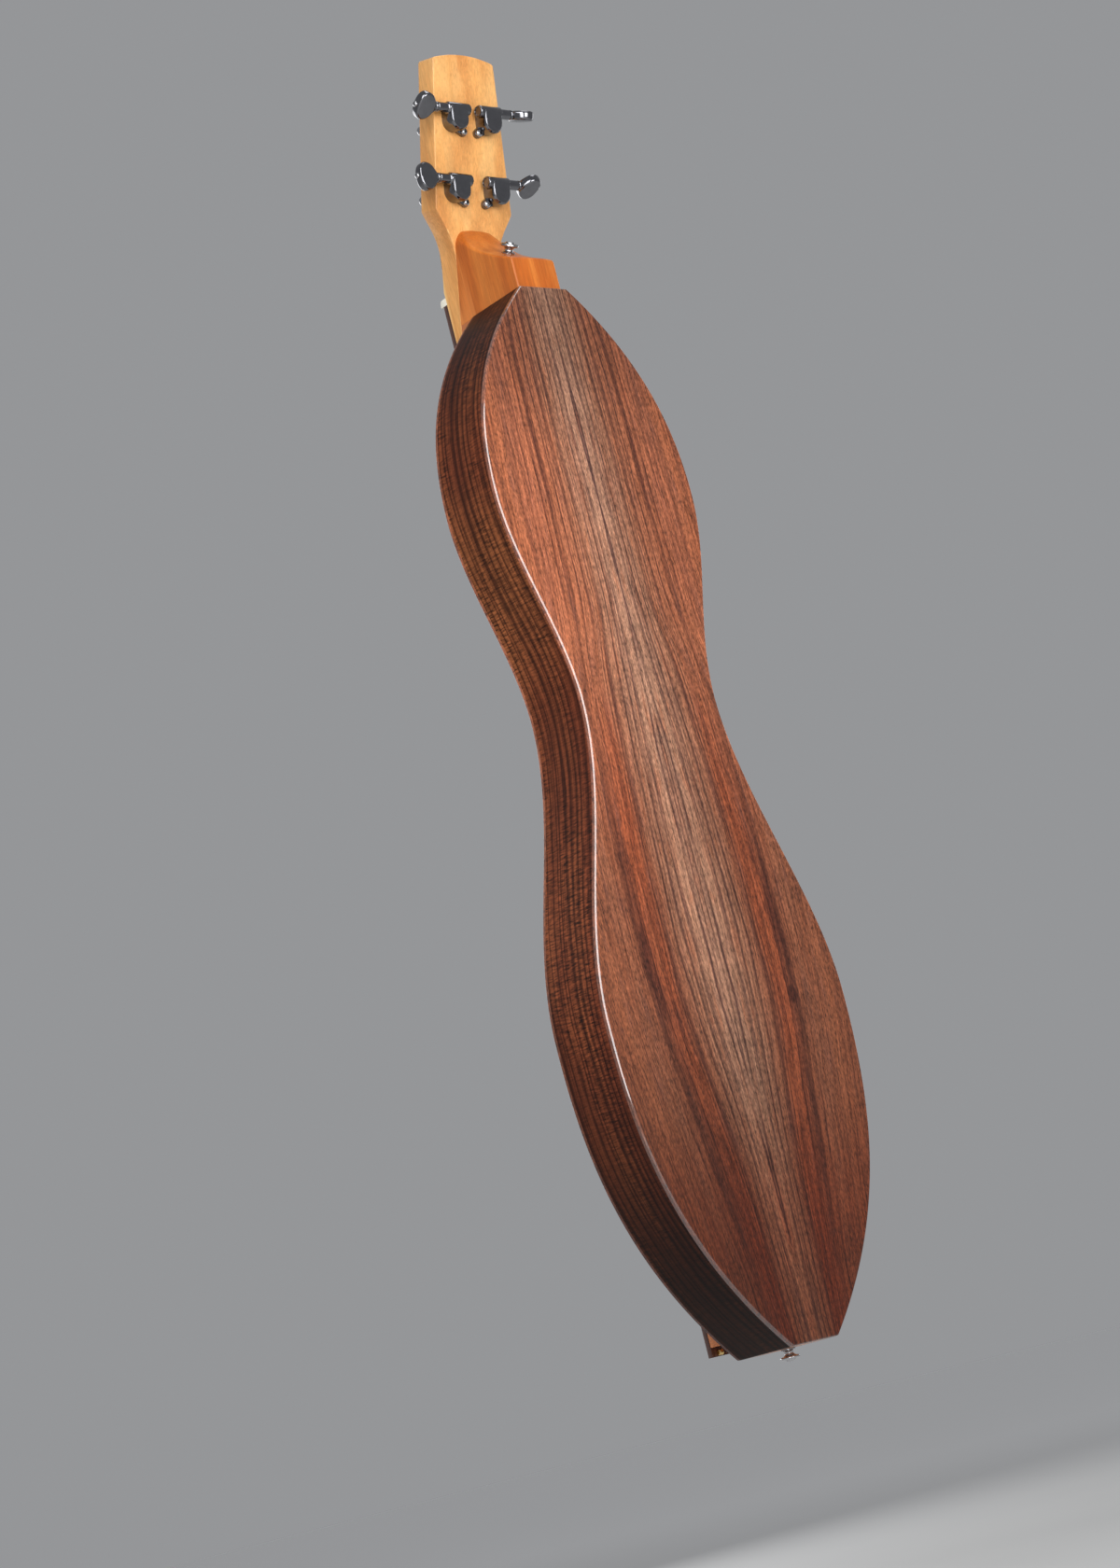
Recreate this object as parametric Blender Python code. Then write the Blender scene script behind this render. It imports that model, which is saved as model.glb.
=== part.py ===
"""Mountain dulcimer with an hourglass walnut body, a cherry heel, a raised fretboard, a
tilted headstock and four sealed worm tuners.

Frame: +Z runs from the tail to the head, +Y from the flat back to the strings, +X to the
right of someone who looks at the back. The origin is the middle of the body's tail end.
All lengths are in metres.
"""

import math

import bmesh
import bpy
from mathutils import Matrix, Vector

for old in list(bpy.data.objects):
    bpy.data.objects.remove(old, do_unlink=True)

# ---------------------------------------------------------------- driving dimensions
GAP = 0.0003  # between two pieces that are glued or seated

BODY_LENGTH = 0.700
BODY_DEPTH = 0.0514  # outside of the back to outside of the soundboard
# Outline stations of the hourglass: (distance from the tail, half width, slope there)
OUTLINE = (
    (0.0, 0.0205, 1.03),
    (0.212, 0.1050, 0.0),  # lower bout
    (0.4155, 0.0588, 0.0),  # waist
    (0.5565, 0.0872, 0.0),  # upper bout
    (BODY_LENGTH, 0.0205, -1.10),
)
OUTLINE_STEPS = 44  # chords along each side of the outline
PLATE = 0.0030  # back and soundboard
SIDE = 0.0022
LINING_W, LINING_H = 0.0055, 0.0070
BLOCK_TAIL = 0.040  # how far the tail block reaches in
BLOCK_HEAD = 0.046  # and the head block
BRACE_W, BRACE_H = 0.008, 0.011
BRACE_LOWER_Z, BRACE_UPPER_Z = 0.208, 0.590  # clear of the sound holes

NECK_HALF = 0.01905  # half of the 38.1 mm fretboard
STICK_TOP = 0.0473  # height of the fretboard stick's top over the middle of the body
BOARD_T = 0.0037  # fingerboard overlay
NUT_Z, NUT_T, NUT_TOP = 0.7185, 0.0050, 0.0536
STRING_LENGTH = 0.6604  # 26 inches from nut to saddle
SADDLE_T, SADDLE_TOP = 0.0030, 0.0548
STICK_TAIL = 0.012
BOARD_TAIL = 0.006
STRUM_LOW, STRUM_HIGH, STRUM_DEEP = 0.078, 0.166, 0.0026
# Diatonic frets as (label, semitones above the open string)
FRETS = (
    ("01", 2), ("02", 4), ("03", 5), ("04", 7), ("05", 9), ("06", 10),
    ("06_half", 11), ("07", 12), ("08", 14), ("09", 16), ("10", 17), ("11", 19),
)

TILT = math.radians(14.5)  # headstock against the fretboard
HEAD_REF_Z, HEAD_REF_Y = 0.777, 0.0190  # a point on the headstock's back face
HEAD_T = 0.0150
HEAD_TOP, HEAD_TOP_CORNER = 0.1028, 0.0990  # along the headstock from that point
HEAD_TOP_HALF, HEAD_WIDE_HALF, HEAD_WIDE_S = 0.0266, 0.0334, -0.0030
SCARF_TIP_Z = 0.672
LEDGE_Z = 0.7272

# The heel's end along the middle: (depth in from the back plate, distance from the tail)
HEEL_LINE = (
    (0.0, 0.7225), (0.0055, 0.7253), (0.0110, 0.7283), (0.0160, 0.7313), (0.0209, 0.7346), (0.0255, 0.7378),
    (0.0295, 0.7413), (0.0330, 0.7450), (0.0365, 0.7496), (0.0404, 0.7552), (0.0455, 0.7626), (0.0510, 0.7704),
    (0.0640, 0.7890),
)

# Tuners: place of the post on the headstock's back face, (across, along)
TUNERS = {
    "upper_left": (-0.0148, 0.0569),
    "upper_right": (0.0148, 0.0569),
    "lower_left": (-0.0175, 0.0094),
    "lower_right": (0.0175, 0.0094),
}
# How far each button is turned at rest, from flat against the headstock
BUTTON_REST_DEG = {
    "upper_left": 36.0,
    "upper_right": 98.0,
    "lower_left": -8.0,
    "lower_right": 57.0,
}
GEAR_TEETH = 14
GEAR_R = 0.00460  # pitch radius
WORM_R = 0.00270
PITCH = 2 * math.pi * GEAR_R / GEAR_TEETH
ADDENDUM, DEDENDUM = 0.00046, 0.00067
CENTRES = GEAR_R + WORM_R  # post axis to worm axis
WORM_C = 0.0060  # worm axis over the headstock's back face
CASE_W, CASE_R, CASE_TOP, CASE_UP = 0.0079, 0.0073, 0.01045, 0.0094  # the D: half width, depth of its bow, height, straight part
BARREL_R, BORE_R = 0.0043, 0.0034
NOSE_R, NOSE_BORE_R = 0.0033, 0.0027
BARREL_IN, BARREL_OUT, NOSE_OUT = -0.0106, 0.0086, 0.0170
LUG_AT = (-0.0082, -0.0066)
POST_R, BUSH_BORE_R, BUSH_R = 0.0030, 0.0032, 0.0040

# Strings: place across at nut and saddle, wire radius, tuner that winds it
STRINGS = {
    "string_melody_outer": (0.0130, 0.0135, 0.00015, "lower_right"),
    "string_melody_inner": (0.0098, 0.0100, 0.00015, "upper_right"),
    "string_middle": (-0.0010, -0.0010, 0.00020, "upper_left"),
    "string_bass": (-0.0130, -0.0135, 0.00030, "lower_left"),
}

BACK_Y = -BODY_DEPTH / 2
TOP_Y = BODY_DEPTH / 2
SADDLE_Z = NUT_Z - STRING_LENGTH
BOARD_TOP = STICK_TOP + GAP + BOARD_T

# ---------------------------------------------------------------- colours
WALNUT = ((0.20, 0.095, 0.058), 0.42, 0.0)
WALNUT_SIDE = ((0.105, 0.058, 0.036), 0.45, 0.0)
SPRUCE = ((0.62, 0.42, 0.22), 0.5, 0.0)
CHERRY = ((0.50, 0.20, 0.075), 0.38, 0.0)
LIGHT_CHERRY = ((0.72, 0.42, 0.19), 0.38, 0.0)
ROSEWOOD = ((0.055, 0.026, 0.018), 0.45, 0.0)
BONE = ((0.86, 0.82, 0.72), 0.35, 0.0)
CHROME = ((0.80, 0.80, 0.82), 0.08, 1.0)
NICKEL = ((0.66, 0.64, 0.60), 0.2, 1.0)
STEEL = ((0.60, 0.60, 0.60), 0.25, 1.0)


def material(name, look):
    colour, rough, metal = look
    mat = bpy.data.materials.new(name + "_finish")
    mat.use_nodes = True
    shader = mat.node_tree.nodes["Principled BSDF"]
    shader.inputs["Base Color"].default_value = (*colour, 1.0)
    shader.inputs["Roughness"].default_value = rough
    shader.inputs["Metallic"].default_value = metal
    mat.diffuse_color = (*colour, 1.0)
    return mat


def solid(name, points, faces):
    """A mesh object from points and faces, with its faces pointing out."""
    mesh = bpy.data.meshes.new(name)
    mesh.from_pydata([tuple(p) for p in points], [], faces)
    bm = bmesh.new()
    bm.from_mesh(mesh)
    bmesh.ops.remove_doubles(bm, verts=bm.verts, dist=1e-7)
    bmesh.ops.recalc_face_normals(bm, faces=bm.faces)
    bm.to_mesh(mesh)
    bm.free()
    obj = bpy.data.objects.new(name, mesh)
    bpy.context.scene.collection.objects.link(obj)
    return obj


def loft(name, rings, closed_run=False):
    """Joins rings of equal length, with a cap at each end unless the run is closed."""
    n, m = len(rings[0]), len(rings)
    points = [p for ring in rings for p in ring]
    faces = []
    for i in range(m if closed_run else m - 1):
        j = (i + 1) % m
        for k in range(n):
            q = (k + 1) % n
            faces.append((i * n + k, i * n + q, j * n + q, j * n + k))
    if not closed_run:
        faces.append(tuple(range(n))[::-1])
        faces.append(tuple((m - 1) * n + k for k in range(n)))
    return solid(name, points, faces)


def turned(name, profile, segments=14, hollow=False, axis=2, phase=0.0):
    """A lathe shape about a local axis from (radius, height) pairs."""
    rings = []
    for radius, height in profile:
        ring = []
        for k in range(segments):
            a = phase + 2 * math.pi * k / segments
            c, s = radius * math.cos(a), radius * math.sin(a)
            ring.append((c, s, height) if axis == 2 else (height, c, s))
        rings.append(ring)
    return loft(name, rings, closed_run=hollow)


def box(name, low, high):
    (x0, y0, z0), (x1, y1, z1) = low, high
    rings = [[(x0, y0, z), (x1, y0, z), (x1, y1, z), (x0, y1, z)] for z in (z0, z1)]
    return loft(name, rings)


def boolean(target, operation, *tools):
    """Cuts or joins with other meshes, and takes the result as the object's mesh."""
    bpy.context.view_layer.update()
    for tool in tools:
        step = target.modifiers.new(operation.lower(), "BOOLEAN")
        step.operation = operation
        step.solver = "EXACT"
        step.object = tool
    graph = bpy.context.evaluated_depsgraph_get()
    made = bpy.data.meshes.new_from_object(target.evaluated_get(graph))
    target.modifiers.clear()
    before, target.data = target.data, made
    bpy.data.meshes.remove(before)
    for tool in tools:
        bpy.data.objects.remove(tool, do_unlink=True)
    return target


def finish(obj, look, parent=None, smooth_deg=32.0):
    """Gives the piece its own material, smooth round faces and its parent."""
    obj.data.materials.clear()
    obj.data.materials.append(material(obj.name, look))
    obj.data.name = obj.name
    obj.data.shade_smooth()
    obj.data.set_sharp_from_angle(angle=math.radians(smooth_deg))
    if parent:
        obj.parent = parent
    return obj


def moved(obj, matrix):
    """Moves the mesh itself, turning its faces if the matrix mirrors."""
    obj.data.transform(matrix)
    if matrix.determinant() < 0:
        obj.data.flip_normals()
    return obj


# ---------------------------------------------------------------- outline of the body
def half_width(z):
    """Half width of the hourglass and its slope at a distance from the tail."""
    z = min(max(z, 0.0), BODY_LENGTH)
    for (za, wa, ma), (zb, wb, mb) in zip(OUTLINE[:-1], OUTLINE[1:]):
        if z <= zb:
            h = zb - za
            t = (z - za) / h
            width = (
                wa * (2 * t**3 - 3 * t**2 + 1)
                + h * ma * (t**3 - 2 * t**2 + t)
                + wb * (3 * t**2 - 2 * t**3)
                + h * mb * (t**3 - t**2)
            )
            slope = (
                wa * (6 * t**2 - 6 * t) / h
                + ma * (3 * t**2 - 4 * t + 1)
                + wb * (6 * t - 6 * t**2) / h
                + mb * (3 * t**2 - 2 * t)
            )
            return width, slope


STEP = BODY_LENGTH / OUTLINE_STEPS


def inside(z, depth):
    """Half width at a distance in from the outline, on the chords between the stations."""

    def at(k):
        width, slope = half_width(k * STEP)
        return width - depth * math.sqrt(1 + slope * slope)

    z = min(max(z, 0.0), BODY_LENGTH)
    k = min(int(z / STEP + 1e-9), OUTLINE_STEPS - 1)
    share = z / STEP - k
    return at(k) * (1 - share) + at(k + 1) * share


def stations(low, high):
    """The two ends and every station of the outline that lies between them."""
    between = [k * STEP for k in range(OUTLINE_STEPS + 1)]
    return [low] + [z for z in between if low + 1e-5 < z < high - 1e-5] + [high]


def strip(name, side, outer, inner, y0, y1, low, high):
    """A strip that follows one side of the outline between two distances in from it."""
    rings = []
    for z in stations(low, high):
        a, b = side * inside(z, outer), side * inside(z, inner)
        rings.append([(a, y0, z), (b, y0, z), (b, y1, z), (a, y1, z)])
    return loft(name, rings)


def plate(name, y0, y1, left, right):
    """A flat plate of the outline's shape; left and right say which halves it has."""
    outline = []
    zs = stations(0.0, BODY_LENGTH)
    if right:
        outline += [(half_width(z)[0], z) for z in zs]
    else:
        outline += [(-GAP / 3, 0.0), (-GAP / 3, BODY_LENGTH)]
    if left:
        outline += [(-half_width(z)[0], z) for z in reversed(zs)]
    else:
        outline += [(GAP / 3, BODY_LENGTH), (GAP / 3, 0.0)]
    rings = [[(x, y, z) for x, z in outline] for y in (y0, y1)]
    return loft(name, rings)


# ---------------------------------------------------------------- sound box
finish(plate("back_left", BACK_Y, BACK_Y + PLATE, True, False), WALNUT)
finish(plate("back_right", BACK_Y, BACK_Y + PLATE, False, True), WALNUT)

INNER_LOW, INNER_HIGH = BACK_Y + PLATE + GAP, TOP_Y - PLATE - GAP
for word, sign in (("left", -1), ("right", 1)):
    finish(
        strip("side_" + word, sign, 0.0, SIDE, INNER_LOW, INNER_HIGH, 0.0, BODY_LENGTH),
        WALNUT_SIDE,
    )
    low, high = BLOCK_TAIL + 0.001, BODY_LENGTH - BLOCK_HEAD - 0.001
    for where, y0, y1 in (
        ("back", INNER_LOW, INNER_LOW + LINING_H),
        ("top", INNER_HIGH - LINING_H, INNER_HIGH),
    ):
        finish(
            strip(f"lining_{where}_{word}", sign, SIDE + GAP, SIDE + GAP + LINING_W, y0, y1, low, high),
            SPRUCE,
        )


def heart(name, x, z, size, y0, y1, steps=22):
    """A heart-shaped cutter, point towards the tail."""
    ring = []
    for k in range(steps):
        t = 2 * math.pi * (k + 0.5) / steps
        u = 16 * math.sin(t) ** 3
        v = 13 * math.cos(t) - 5 * math.cos(2 * t) - 2 * math.cos(3 * t) - math.cos(4 * t)
        ring.append((x + u * size / 32, z + v * size / 32))
    return loft(name, [[(a, y, b) for a, b in ring] for y in (y0, y1)])


soundboard = plate("soundboard", TOP_Y - PLATE, TOP_Y, True, True)
holes = [
    heart("cut", sx * x, z, size, TOP_Y - 2 * PLATE, TOP_Y + PLATE)
    for sx in (-1, 1)
    for x, z, size in ((0.058, 0.235, 0.026), (0.050, 0.548, 0.022))
]
finish(boolean(soundboard, "DIFFERENCE", *holes), WALNUT)

for word, z in (("lower", BRACE_LOWER_Z), ("upper", BRACE_UPPER_Z)):
    reach = inside(z, SIDE + GAP + LINING_W) - 0.001
    for where, base, way in (("back", INNER_LOW, 1), ("top", INNER_HIGH, -1)):
        rings = []
        for x, tall in ((-reach, 0.35), (-reach + 0.018, 1.0), (reach - 0.018, 1.0), (reach, 0.35)):
            tip = base + way * BRACE_H * tall
            shoulder = base + way * BRACE_H * tall * 0.55
            rings.append(
                [
                    (x, base, z - BRACE_W / 2),
                    (x, base, z + BRACE_W / 2),
                    (x, shoulder, z + BRACE_W / 2),
                    (x, tip, z + BRACE_W * 0.16),
                    (x, tip, z - BRACE_W * 0.16),
                    (x, shoulder, z - BRACE_W / 2),
                ]
            )
        finish(loft(f"{where}_brace_{word}", rings), SPRUCE)


def scarf_y(z, over=0.0):
    """Height of the headstock's back plane at a distance from the tail."""
    return HEAD_REF_Y + (HEAD_REF_Z - z) * math.tan(TILT) + over / math.cos(TILT)


def above_scarf(name, over=-GAP):
    """A cutter that takes away all that is in front of the scarf plane."""
    z0, z1 = 0.60, 0.80
    corners = [(z0, scarf_y(z0, over)), (z1, scarf_y(z1, over)), (z1, 0.12), (z0, 0.12)]
    return loft(name, [[(x, y, z) for z, y in corners] for x in (-0.06, 0.06)])


def block(name, low, high):
    """A block that fills the end of the sound box between the sides."""
    right = [(inside(z, SIDE + GAP), z) for z in stations(low, high)]
    outline = right + [(-x, z) for x, z in reversed(right)]
    rings = [[(x, y, z) for x, z in outline] for y in (INNER_LOW, INNER_HIGH)]
    return loft(name, rings)


SCREW_HOLE_R = 0.0016
tail_block = block("tail_block", 0.0, BLOCK_TAIL)
tail_hole = turned("cut", ((SCREW_HOLE_R, -0.004), (SCREW_HOLE_R, 0.024)), 12)
finish(boolean(tail_block, "DIFFERENCE", tail_hole), CHERRY)


def heel_end(x, y):
    """How far the heel reaches towards the head, at a place across and a height."""
    d = max(y - INNER_LOW, 0.0)
    for (da, za), (db, zb) in zip(HEEL_LINE[:-1], HEEL_LINE[1:]):
        if d <= db or db == HEEL_LINE[-1][0]:
            reach = za + (zb - za) * (d - da) / (db - da)
            break
    share = min(d / 0.048, 1.05) ** 4
    reach -= (0.0008 + 0.0050 * share) * (abs(x) / NECK_HALF) ** 3
    corner = 0.0017 + 0.0085 * share**1.6
    over = abs(x) - (NECK_HALF - corner)
    if over > 0:
        reach -= corner - math.sqrt(max(corner**2 - over**2, 0.0))
    return reach


def heel():
    edge = 0.0016  # rounding along the back
    levels = [
        (INNER_LOW + edge * (1 - math.cos(a)), edge * (1 - math.sin(a)))
        for a in (0.0, math.pi / 6, math.pi / 3, math.pi / 2)
    ]
    levels += [(INNER_LOW + d, 0.0) for d, _ in HEEL_LINE[1:]]
    across = [math.sin(math.pi / 2 * k / 10) for k in range(10, -11, -1)]
    rings = []
    for y, inset in levels:
        half = NECK_HALF - inset
        ring = [(-half, y, BODY_LENGTH + GAP), (half, y, BODY_LENGTH + GAP)]
        ring += [(half * c, y, heel_end(NECK_HALF * c, y) - inset) for c in across]
        rings.append(ring)
    return loft("heel", rings)


head_block = block("head_block", BODY_LENGTH - BLOCK_HEAD, BODY_LENGTH + 2 * GAP)
outside_heel = boolean(heel(), "DIFFERENCE", above_scarf("cut"))
boolean(head_block, "UNION", outside_heel)

# The strap button of the heel stands square on the slanted end, on the centre line
STRAP_Y = -0.0015
STRAP_Z = heel_end(0.0, STRAP_Y)
slant = (heel_end(0.0, STRAP_Y + 0.002) - heel_end(0.0, STRAP_Y - 0.002)) / 0.004
STRAP_AXIS = Vector((0.0, -slant, 1.0)).normalized()
HEAD_STRAP = Matrix.Translation((0.0, STRAP_Y, STRAP_Z)) @ STRAP_AXIS.to_track_quat("Z", "X").to_matrix().to_4x4()
TAIL_STRAP = Matrix.Rotation(math.pi, 4, "X")
heel_hole = moved(turned("cut", ((SCREW_HOLE_R, -0.022), (SCREW_HOLE_R, 0.006)), 12), HEAD_STRAP)
finish(boolean(head_block, "DIFFERENCE", heel_hole), CHERRY)

# ---------------------------------------------------------------- fretboard and headstock
stick = box("fretboard_stick", (-NECK_HALF, TOP_Y + GAP, STICK_TAIL), (NECK_HALF, STICK_TOP, BODY_LENGTH))
finish(boolean(stick, "DIFFERENCE", above_scarf("cut")), CHERRY)


def fret_z(semitones):
    return NUT_Z - STRING_LENGTH * (1 - 2 ** (-semitones / 12))


SLOT_W, SLOT_DEEP = 0.0007, 0.0016
board_low = STICK_TOP + GAP
strum_chord = (STRUM_HIGH - STRUM_LOW) / 2
strum_r = (strum_chord**2 + STRUM_DEEP**2) / (2 * STRUM_DEEP)
strum_mid = (STRUM_HIGH + STRUM_LOW) / 2
# The side view of the fingerboard: its top dips where the strings are strummed
top_line = [(NUT_Z - GAP, BOARD_TOP), (STRUM_HIGH, BOARD_TOP)]
for k in range(1, 10):
    z = STRUM_HIGH + (STRUM_LOW - STRUM_HIGH) * k / 10
    drop = math.sqrt(strum_r**2 - (z - strum_mid) ** 2) - (strum_r - STRUM_DEEP)
    top_line.append((z, BOARD_TOP - drop))
top_line += [(STRUM_LOW, BOARD_TOP), (BOARD_TAIL, BOARD_TOP)]
side_view = top_line + [(BOARD_TAIL, board_low), (NUT_Z - GAP, board_low)]
fingerboard = loft(
    "fingerboard", [[(x, y, z) for z, y in side_view] for x in (-NECK_HALF, NECK_HALF)]
)
slots = [
    box(
        "cut",
        (-0.03, BOARD_TOP - SLOT_DEEP, fret_z(semis) - SLOT_W / 2),
        (0.03, BOARD_TOP + 0.002, fret_z(semis) + SLOT_W / 2),
    )
    for _, semis in FRETS
]
slots.append(
    box(
        "cut",
        (-0.0172, board_low + 0.0012, SADDLE_Z - SADDLE_T / 2 - GAP),
        (0.0172, BOARD_TOP + 0.002, SADDLE_Z + SADDLE_T / 2 + GAP),
    )
)
for _, tail_x, _, _ in STRINGS.values():
    slots.append(box("cut", (tail_x - 0.0006, board_low - 0.002, BOARD_TAIL - 0.002), (tail_x + 0.0006, BOARD_TOP + 0.002, BOARD_TAIL + 0.0036)))
finish(boolean(fingerboard, "DIFFERENCE", *slots), ROSEWOOD)

for label, semis in FRETS:
    z = fret_z(semis)
    crown = [
        (z + 0.0010 * math.cos(a), BOARD_TOP + 0.00005 + 0.0010 * math.sin(a))
        for a in (math.pi * k / 6 for k in range(7))
    ]
    tang = 0.0002
    profile = crown + [
        (z - tang, BOARD_TOP + 0.00005),
        (z - tang, BOARD_TOP - 0.0013),
        (z + tang, BOARD_TOP - 0.0013),
        (z + tang, BOARD_TOP + 0.00005),
    ]
    ends = NECK_HALF - 0.0004
    finish(
        loft("fret_" + label, [[(x, y, zz) for zz, y in profile] for x in (-ends, ends)]),
        NICKEL,
    )

nut_low = STICK_TOP + GAP
nut_side = [
    (NUT_Z, nut_low), (NUT_Z + NUT_T, nut_low), (NUT_Z + NUT_T, NUT_TOP - 0.0016),
    (NUT_Z + NUT_T * 0.75, NUT_TOP - 0.0005), (NUT_Z + NUT_T * 0.35, NUT_TOP), (NUT_Z, NUT_TOP),
]
nut = loft("nut", [[(x, y, z) for z, y in nut_side] for x in (-NECK_HALF, NECK_HALF)])
notches = [
    box("cut", (x - wire - 0.0002, NUT_TOP - 0.0008, NUT_Z - 0.002), (x + wire + 0.0002, NUT_TOP + 0.002, NUT_Z + NUT_T + 0.002))
    for x, _, wire, _ in STRINGS.values()
]
finish(boolean(nut, "DIFFERENCE", *notches), BONE)

saddle_side = [
    (-SADDLE_T / 2, board_low + 0.0015), (SADDLE_T / 2, board_low + 0.0015),
    (SADDLE_T / 2, SADDLE_TOP - 0.0010), (0.0006, SADDLE_TOP), (-0.0006, SADDLE_TOP),
    (-SADDLE_T / 2, SADDLE_TOP - 0.0010),
]
finish(
    loft("saddle", [[(x, y, SADDLE_Z + z) for z, y in saddle_side] for x in (-0.0168, 0.0168)]),
    BONE,
)

# The headstock's own frame: local X across, Y along towards the top, Z out of the back face
headstock_frame = bpy.data.objects.new("headstock_frame", None)
headstock_frame.location = (0.0, HEAD_REF_Y, HEAD_REF_Z)
headstock_frame.rotation_euler = (math.pi / 2 + TILT, 0.0, 0.0)
bpy.context.scene.collection.objects.link(headstock_frame)
bpy.context.view_layer.update()
HEAD_M = headstock_frame.matrix_world.copy()


def bezier(p0, p1, p2, p3, steps):
    out = []
    for k in range(steps + 1):
        t = k / steps
        out.append(
            tuple(
                a * (1 - t) ** 3 + 3 * b * t * (1 - t) ** 2 + 3 * c * t * t * (1 - t) + d * t**3
                for a, b, c, d in zip(p0, p1, p2, p3)
            )
        )
    return out


def headstock_outline():
    """Right half from the wedge's tip up to the middle of the top, then mirrored."""
    neck_s = -0.130
    right = [(NECK_HALF, neck_s)]
    right += bezier((NECK_HALF, -0.040), (0.0194, -0.0200), (0.0272, -0.0135), (HEAD_WIDE_HALF - 0.0006, HEAD_WIDE_S - 0.0006), 8)
    right += [(HEAD_WIDE_HALF, HEAD_WIDE_S + 0.0012)]
    right += [(HEAD_TOP_HALF, HEAD_TOP_CORNER - 0.0012), (HEAD_TOP_HALF - 0.0008, HEAD_TOP_CORNER + 0.0001)]
    rise = HEAD_TOP - HEAD_TOP_CORNER
    radius = (HEAD_TOP_HALF**2 + rise**2) / (2 * rise)
    for k in range(1, 6):
        x = (HEAD_TOP_HALF - 0.0008) * (1 - k / 6)
        right.append((x, HEAD_TOP - (radius - math.sqrt(radius**2 - x * x))))
    left = [(-x, s) for x, s in reversed(right)]
    return right + [(0.0, HEAD_TOP)] + left


outline = headstock_outline()
headstock = loft("headstock", [[(x, s, c) for x, s in outline] for c in (-0.045, 0.0)])
moved(headstock, HEAD_M)
tip_back = scarf_y(SCARF_TIP_Z)
far = 0.90
side_cut = [
    (SCARF_TIP_Z, tip_back - 0.02), (SCARF_TIP_Z, STICK_TOP), (LEDGE_Z, STICK_TOP),
    (LEDGE_Z, scarf_y(LEDGE_Z, HEAD_T)), (far, scarf_y(far, HEAD_T)), (far, -0.08),
]
keep = loft("keep", [[(x, y, z) for z, y in side_cut] for x in (-0.06, 0.06)])
boolean(headstock, "INTERSECT", keep)
drills = []
for word, (px, ps) in TUNERS.items():
    sign = 1 if px > 0 else -1
    for r, x, s, c0, c1, n in (
        (BUSH_R + GAP, px, ps, -HEAD_T - 0.004, 0.004, 16),
        (0.0013, px + sign * LUG_AT[0], ps + LUG_AT[1], -0.0098, 0.004, 10),
    ):
        drill = turned("cut", ((r, c0), (r, c1)), n)
        moved(drill, HEAD_M @ Matrix.Translation((x, s, 0.0)))
        drills.append(drill)
finish(boolean(headstock, "DIFFERENCE", *drills), LIGHT_CHERRY)


# ---------------------------------------------------------------- tuners
# Each tuner is drawn for the right side about its post: X outboard, Y to the top,
# Z out of the headstock's back. The left ones are mirrored.
def worm_thread(name):
    """The helical ridge, right-handed, with a valley that faces the gear at x = 0."""
    per_turn, turns_low, turns_high = 10, -1.8, 0.8
    count = round((turns_high - turns_low) * per_turn)
    tip_r, root_r = WORM_R + ADDENDUM, WORM_R - DEDENDUM
    rings = []
    for k in range(count + 1):
        turn = turns_low + k / per_turn
        angle = math.pi + 2 * math.pi * turn
        mid = PITCH * (turn + 0.5)
        run_out = min(1.0, (k + 0.4) / 3, (count - k + 0.4) / 3)
        top = root_r + (tip_r - root_r) * run_out
        ring = []
        for da, r in ((-0.00056, root_r - 0.0003), (-0.00026, top), (0.00026, top), (0.00056, root_r - 0.0003)):
            ring.append((mid + da, r * math.cos(angle), r * math.sin(angle)))
        rings.append(ring)
    return loft(name, rings)


def button(name, turn_deg):
    """The kidney button: flat broad faces, wide at its far end, with a rounded rim."""
    half = (
        (0.0196, 0.0028), (0.0208, 0.0046), (0.0226, 0.0069), (0.0248, 0.0086), (0.0274, 0.0095),
        (0.0298, 0.0094), (0.0320, 0.0083), (0.0336, 0.0064), (0.0345, 0.0040), (0.0349, 0.0014),
    )
    rim = list(half) + [(along, -wide) for along, wide in reversed(half)]
    mid = 0.0280
    rings = []
    for inset, height in ((0.0014, -0.0032), (0.0004, -0.0026), (0.0, -0.0012), (0.0, 0.0012), (0.0004, 0.0026), (0.0014, 0.0032)):
        shrink_x, shrink_y = 1 - inset / 0.0076, 1 - inset / 0.0095
        rings.append([(mid + (x - mid) * shrink_x, y * shrink_y, height) for x, y in rim])
    obj = loft(name, rings)
    return moved(obj, Matrix.Rotation(math.radians(turn_deg), 4, "X"))


def gear_and_post(name):
    """The post with its worm gear; a tooth points at the worm."""
    tip_r, root_r = GEAR_R + ADDENDUM, GEAR_R - DEDENDUM
    lead = PITCH / (2 * math.pi * WORM_R)
    face = 0.0020
    rings = []
    for dz in (-face, face):
        twist = dz * lead / GEAR_R
        ring = []
        for tooth in range(GEAR_TEETH):
            centre = math.pi / 2 + 2 * math.pi * tooth / GEAR_TEETH + twist
            for half, r in ((-0.00062, root_r), (-0.00026, tip_r), (0.00026, tip_r), (0.00062, root_r)):
                a = centre + half / r
                ring.append((r * math.cos(a), r * math.sin(a), WORM_C + dz))
        rings.append(ring)
    gear = loft(name, rings)
    front = -HEAD_T
    post = turned(
        "join",
        (
            (0.0022, WORM_C + 0.0024), (POST_R, WORM_C + 0.0016), (POST_R, front - 0.0066),
            (0.0024, front - 0.0086), (0.0024, front - 0.0108), (POST_R, front - 0.0130),
            (POST_R, front - 0.0166), (0.0023, front - 0.0176),
        ),
        14,
    )
    boolean(gear, "UNION", post)
    hole = turned("cut", ((0.0007, -0.006), (0.0007, 0.006)), 8, axis=0)
    moved(hole, Matrix.Translation((0.0, 0.0, front - 0.0097)) @ Matrix.Rotation(0.6, 4, "Z"))
    return boolean(gear, "DIFFERENCE", hole)


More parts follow.
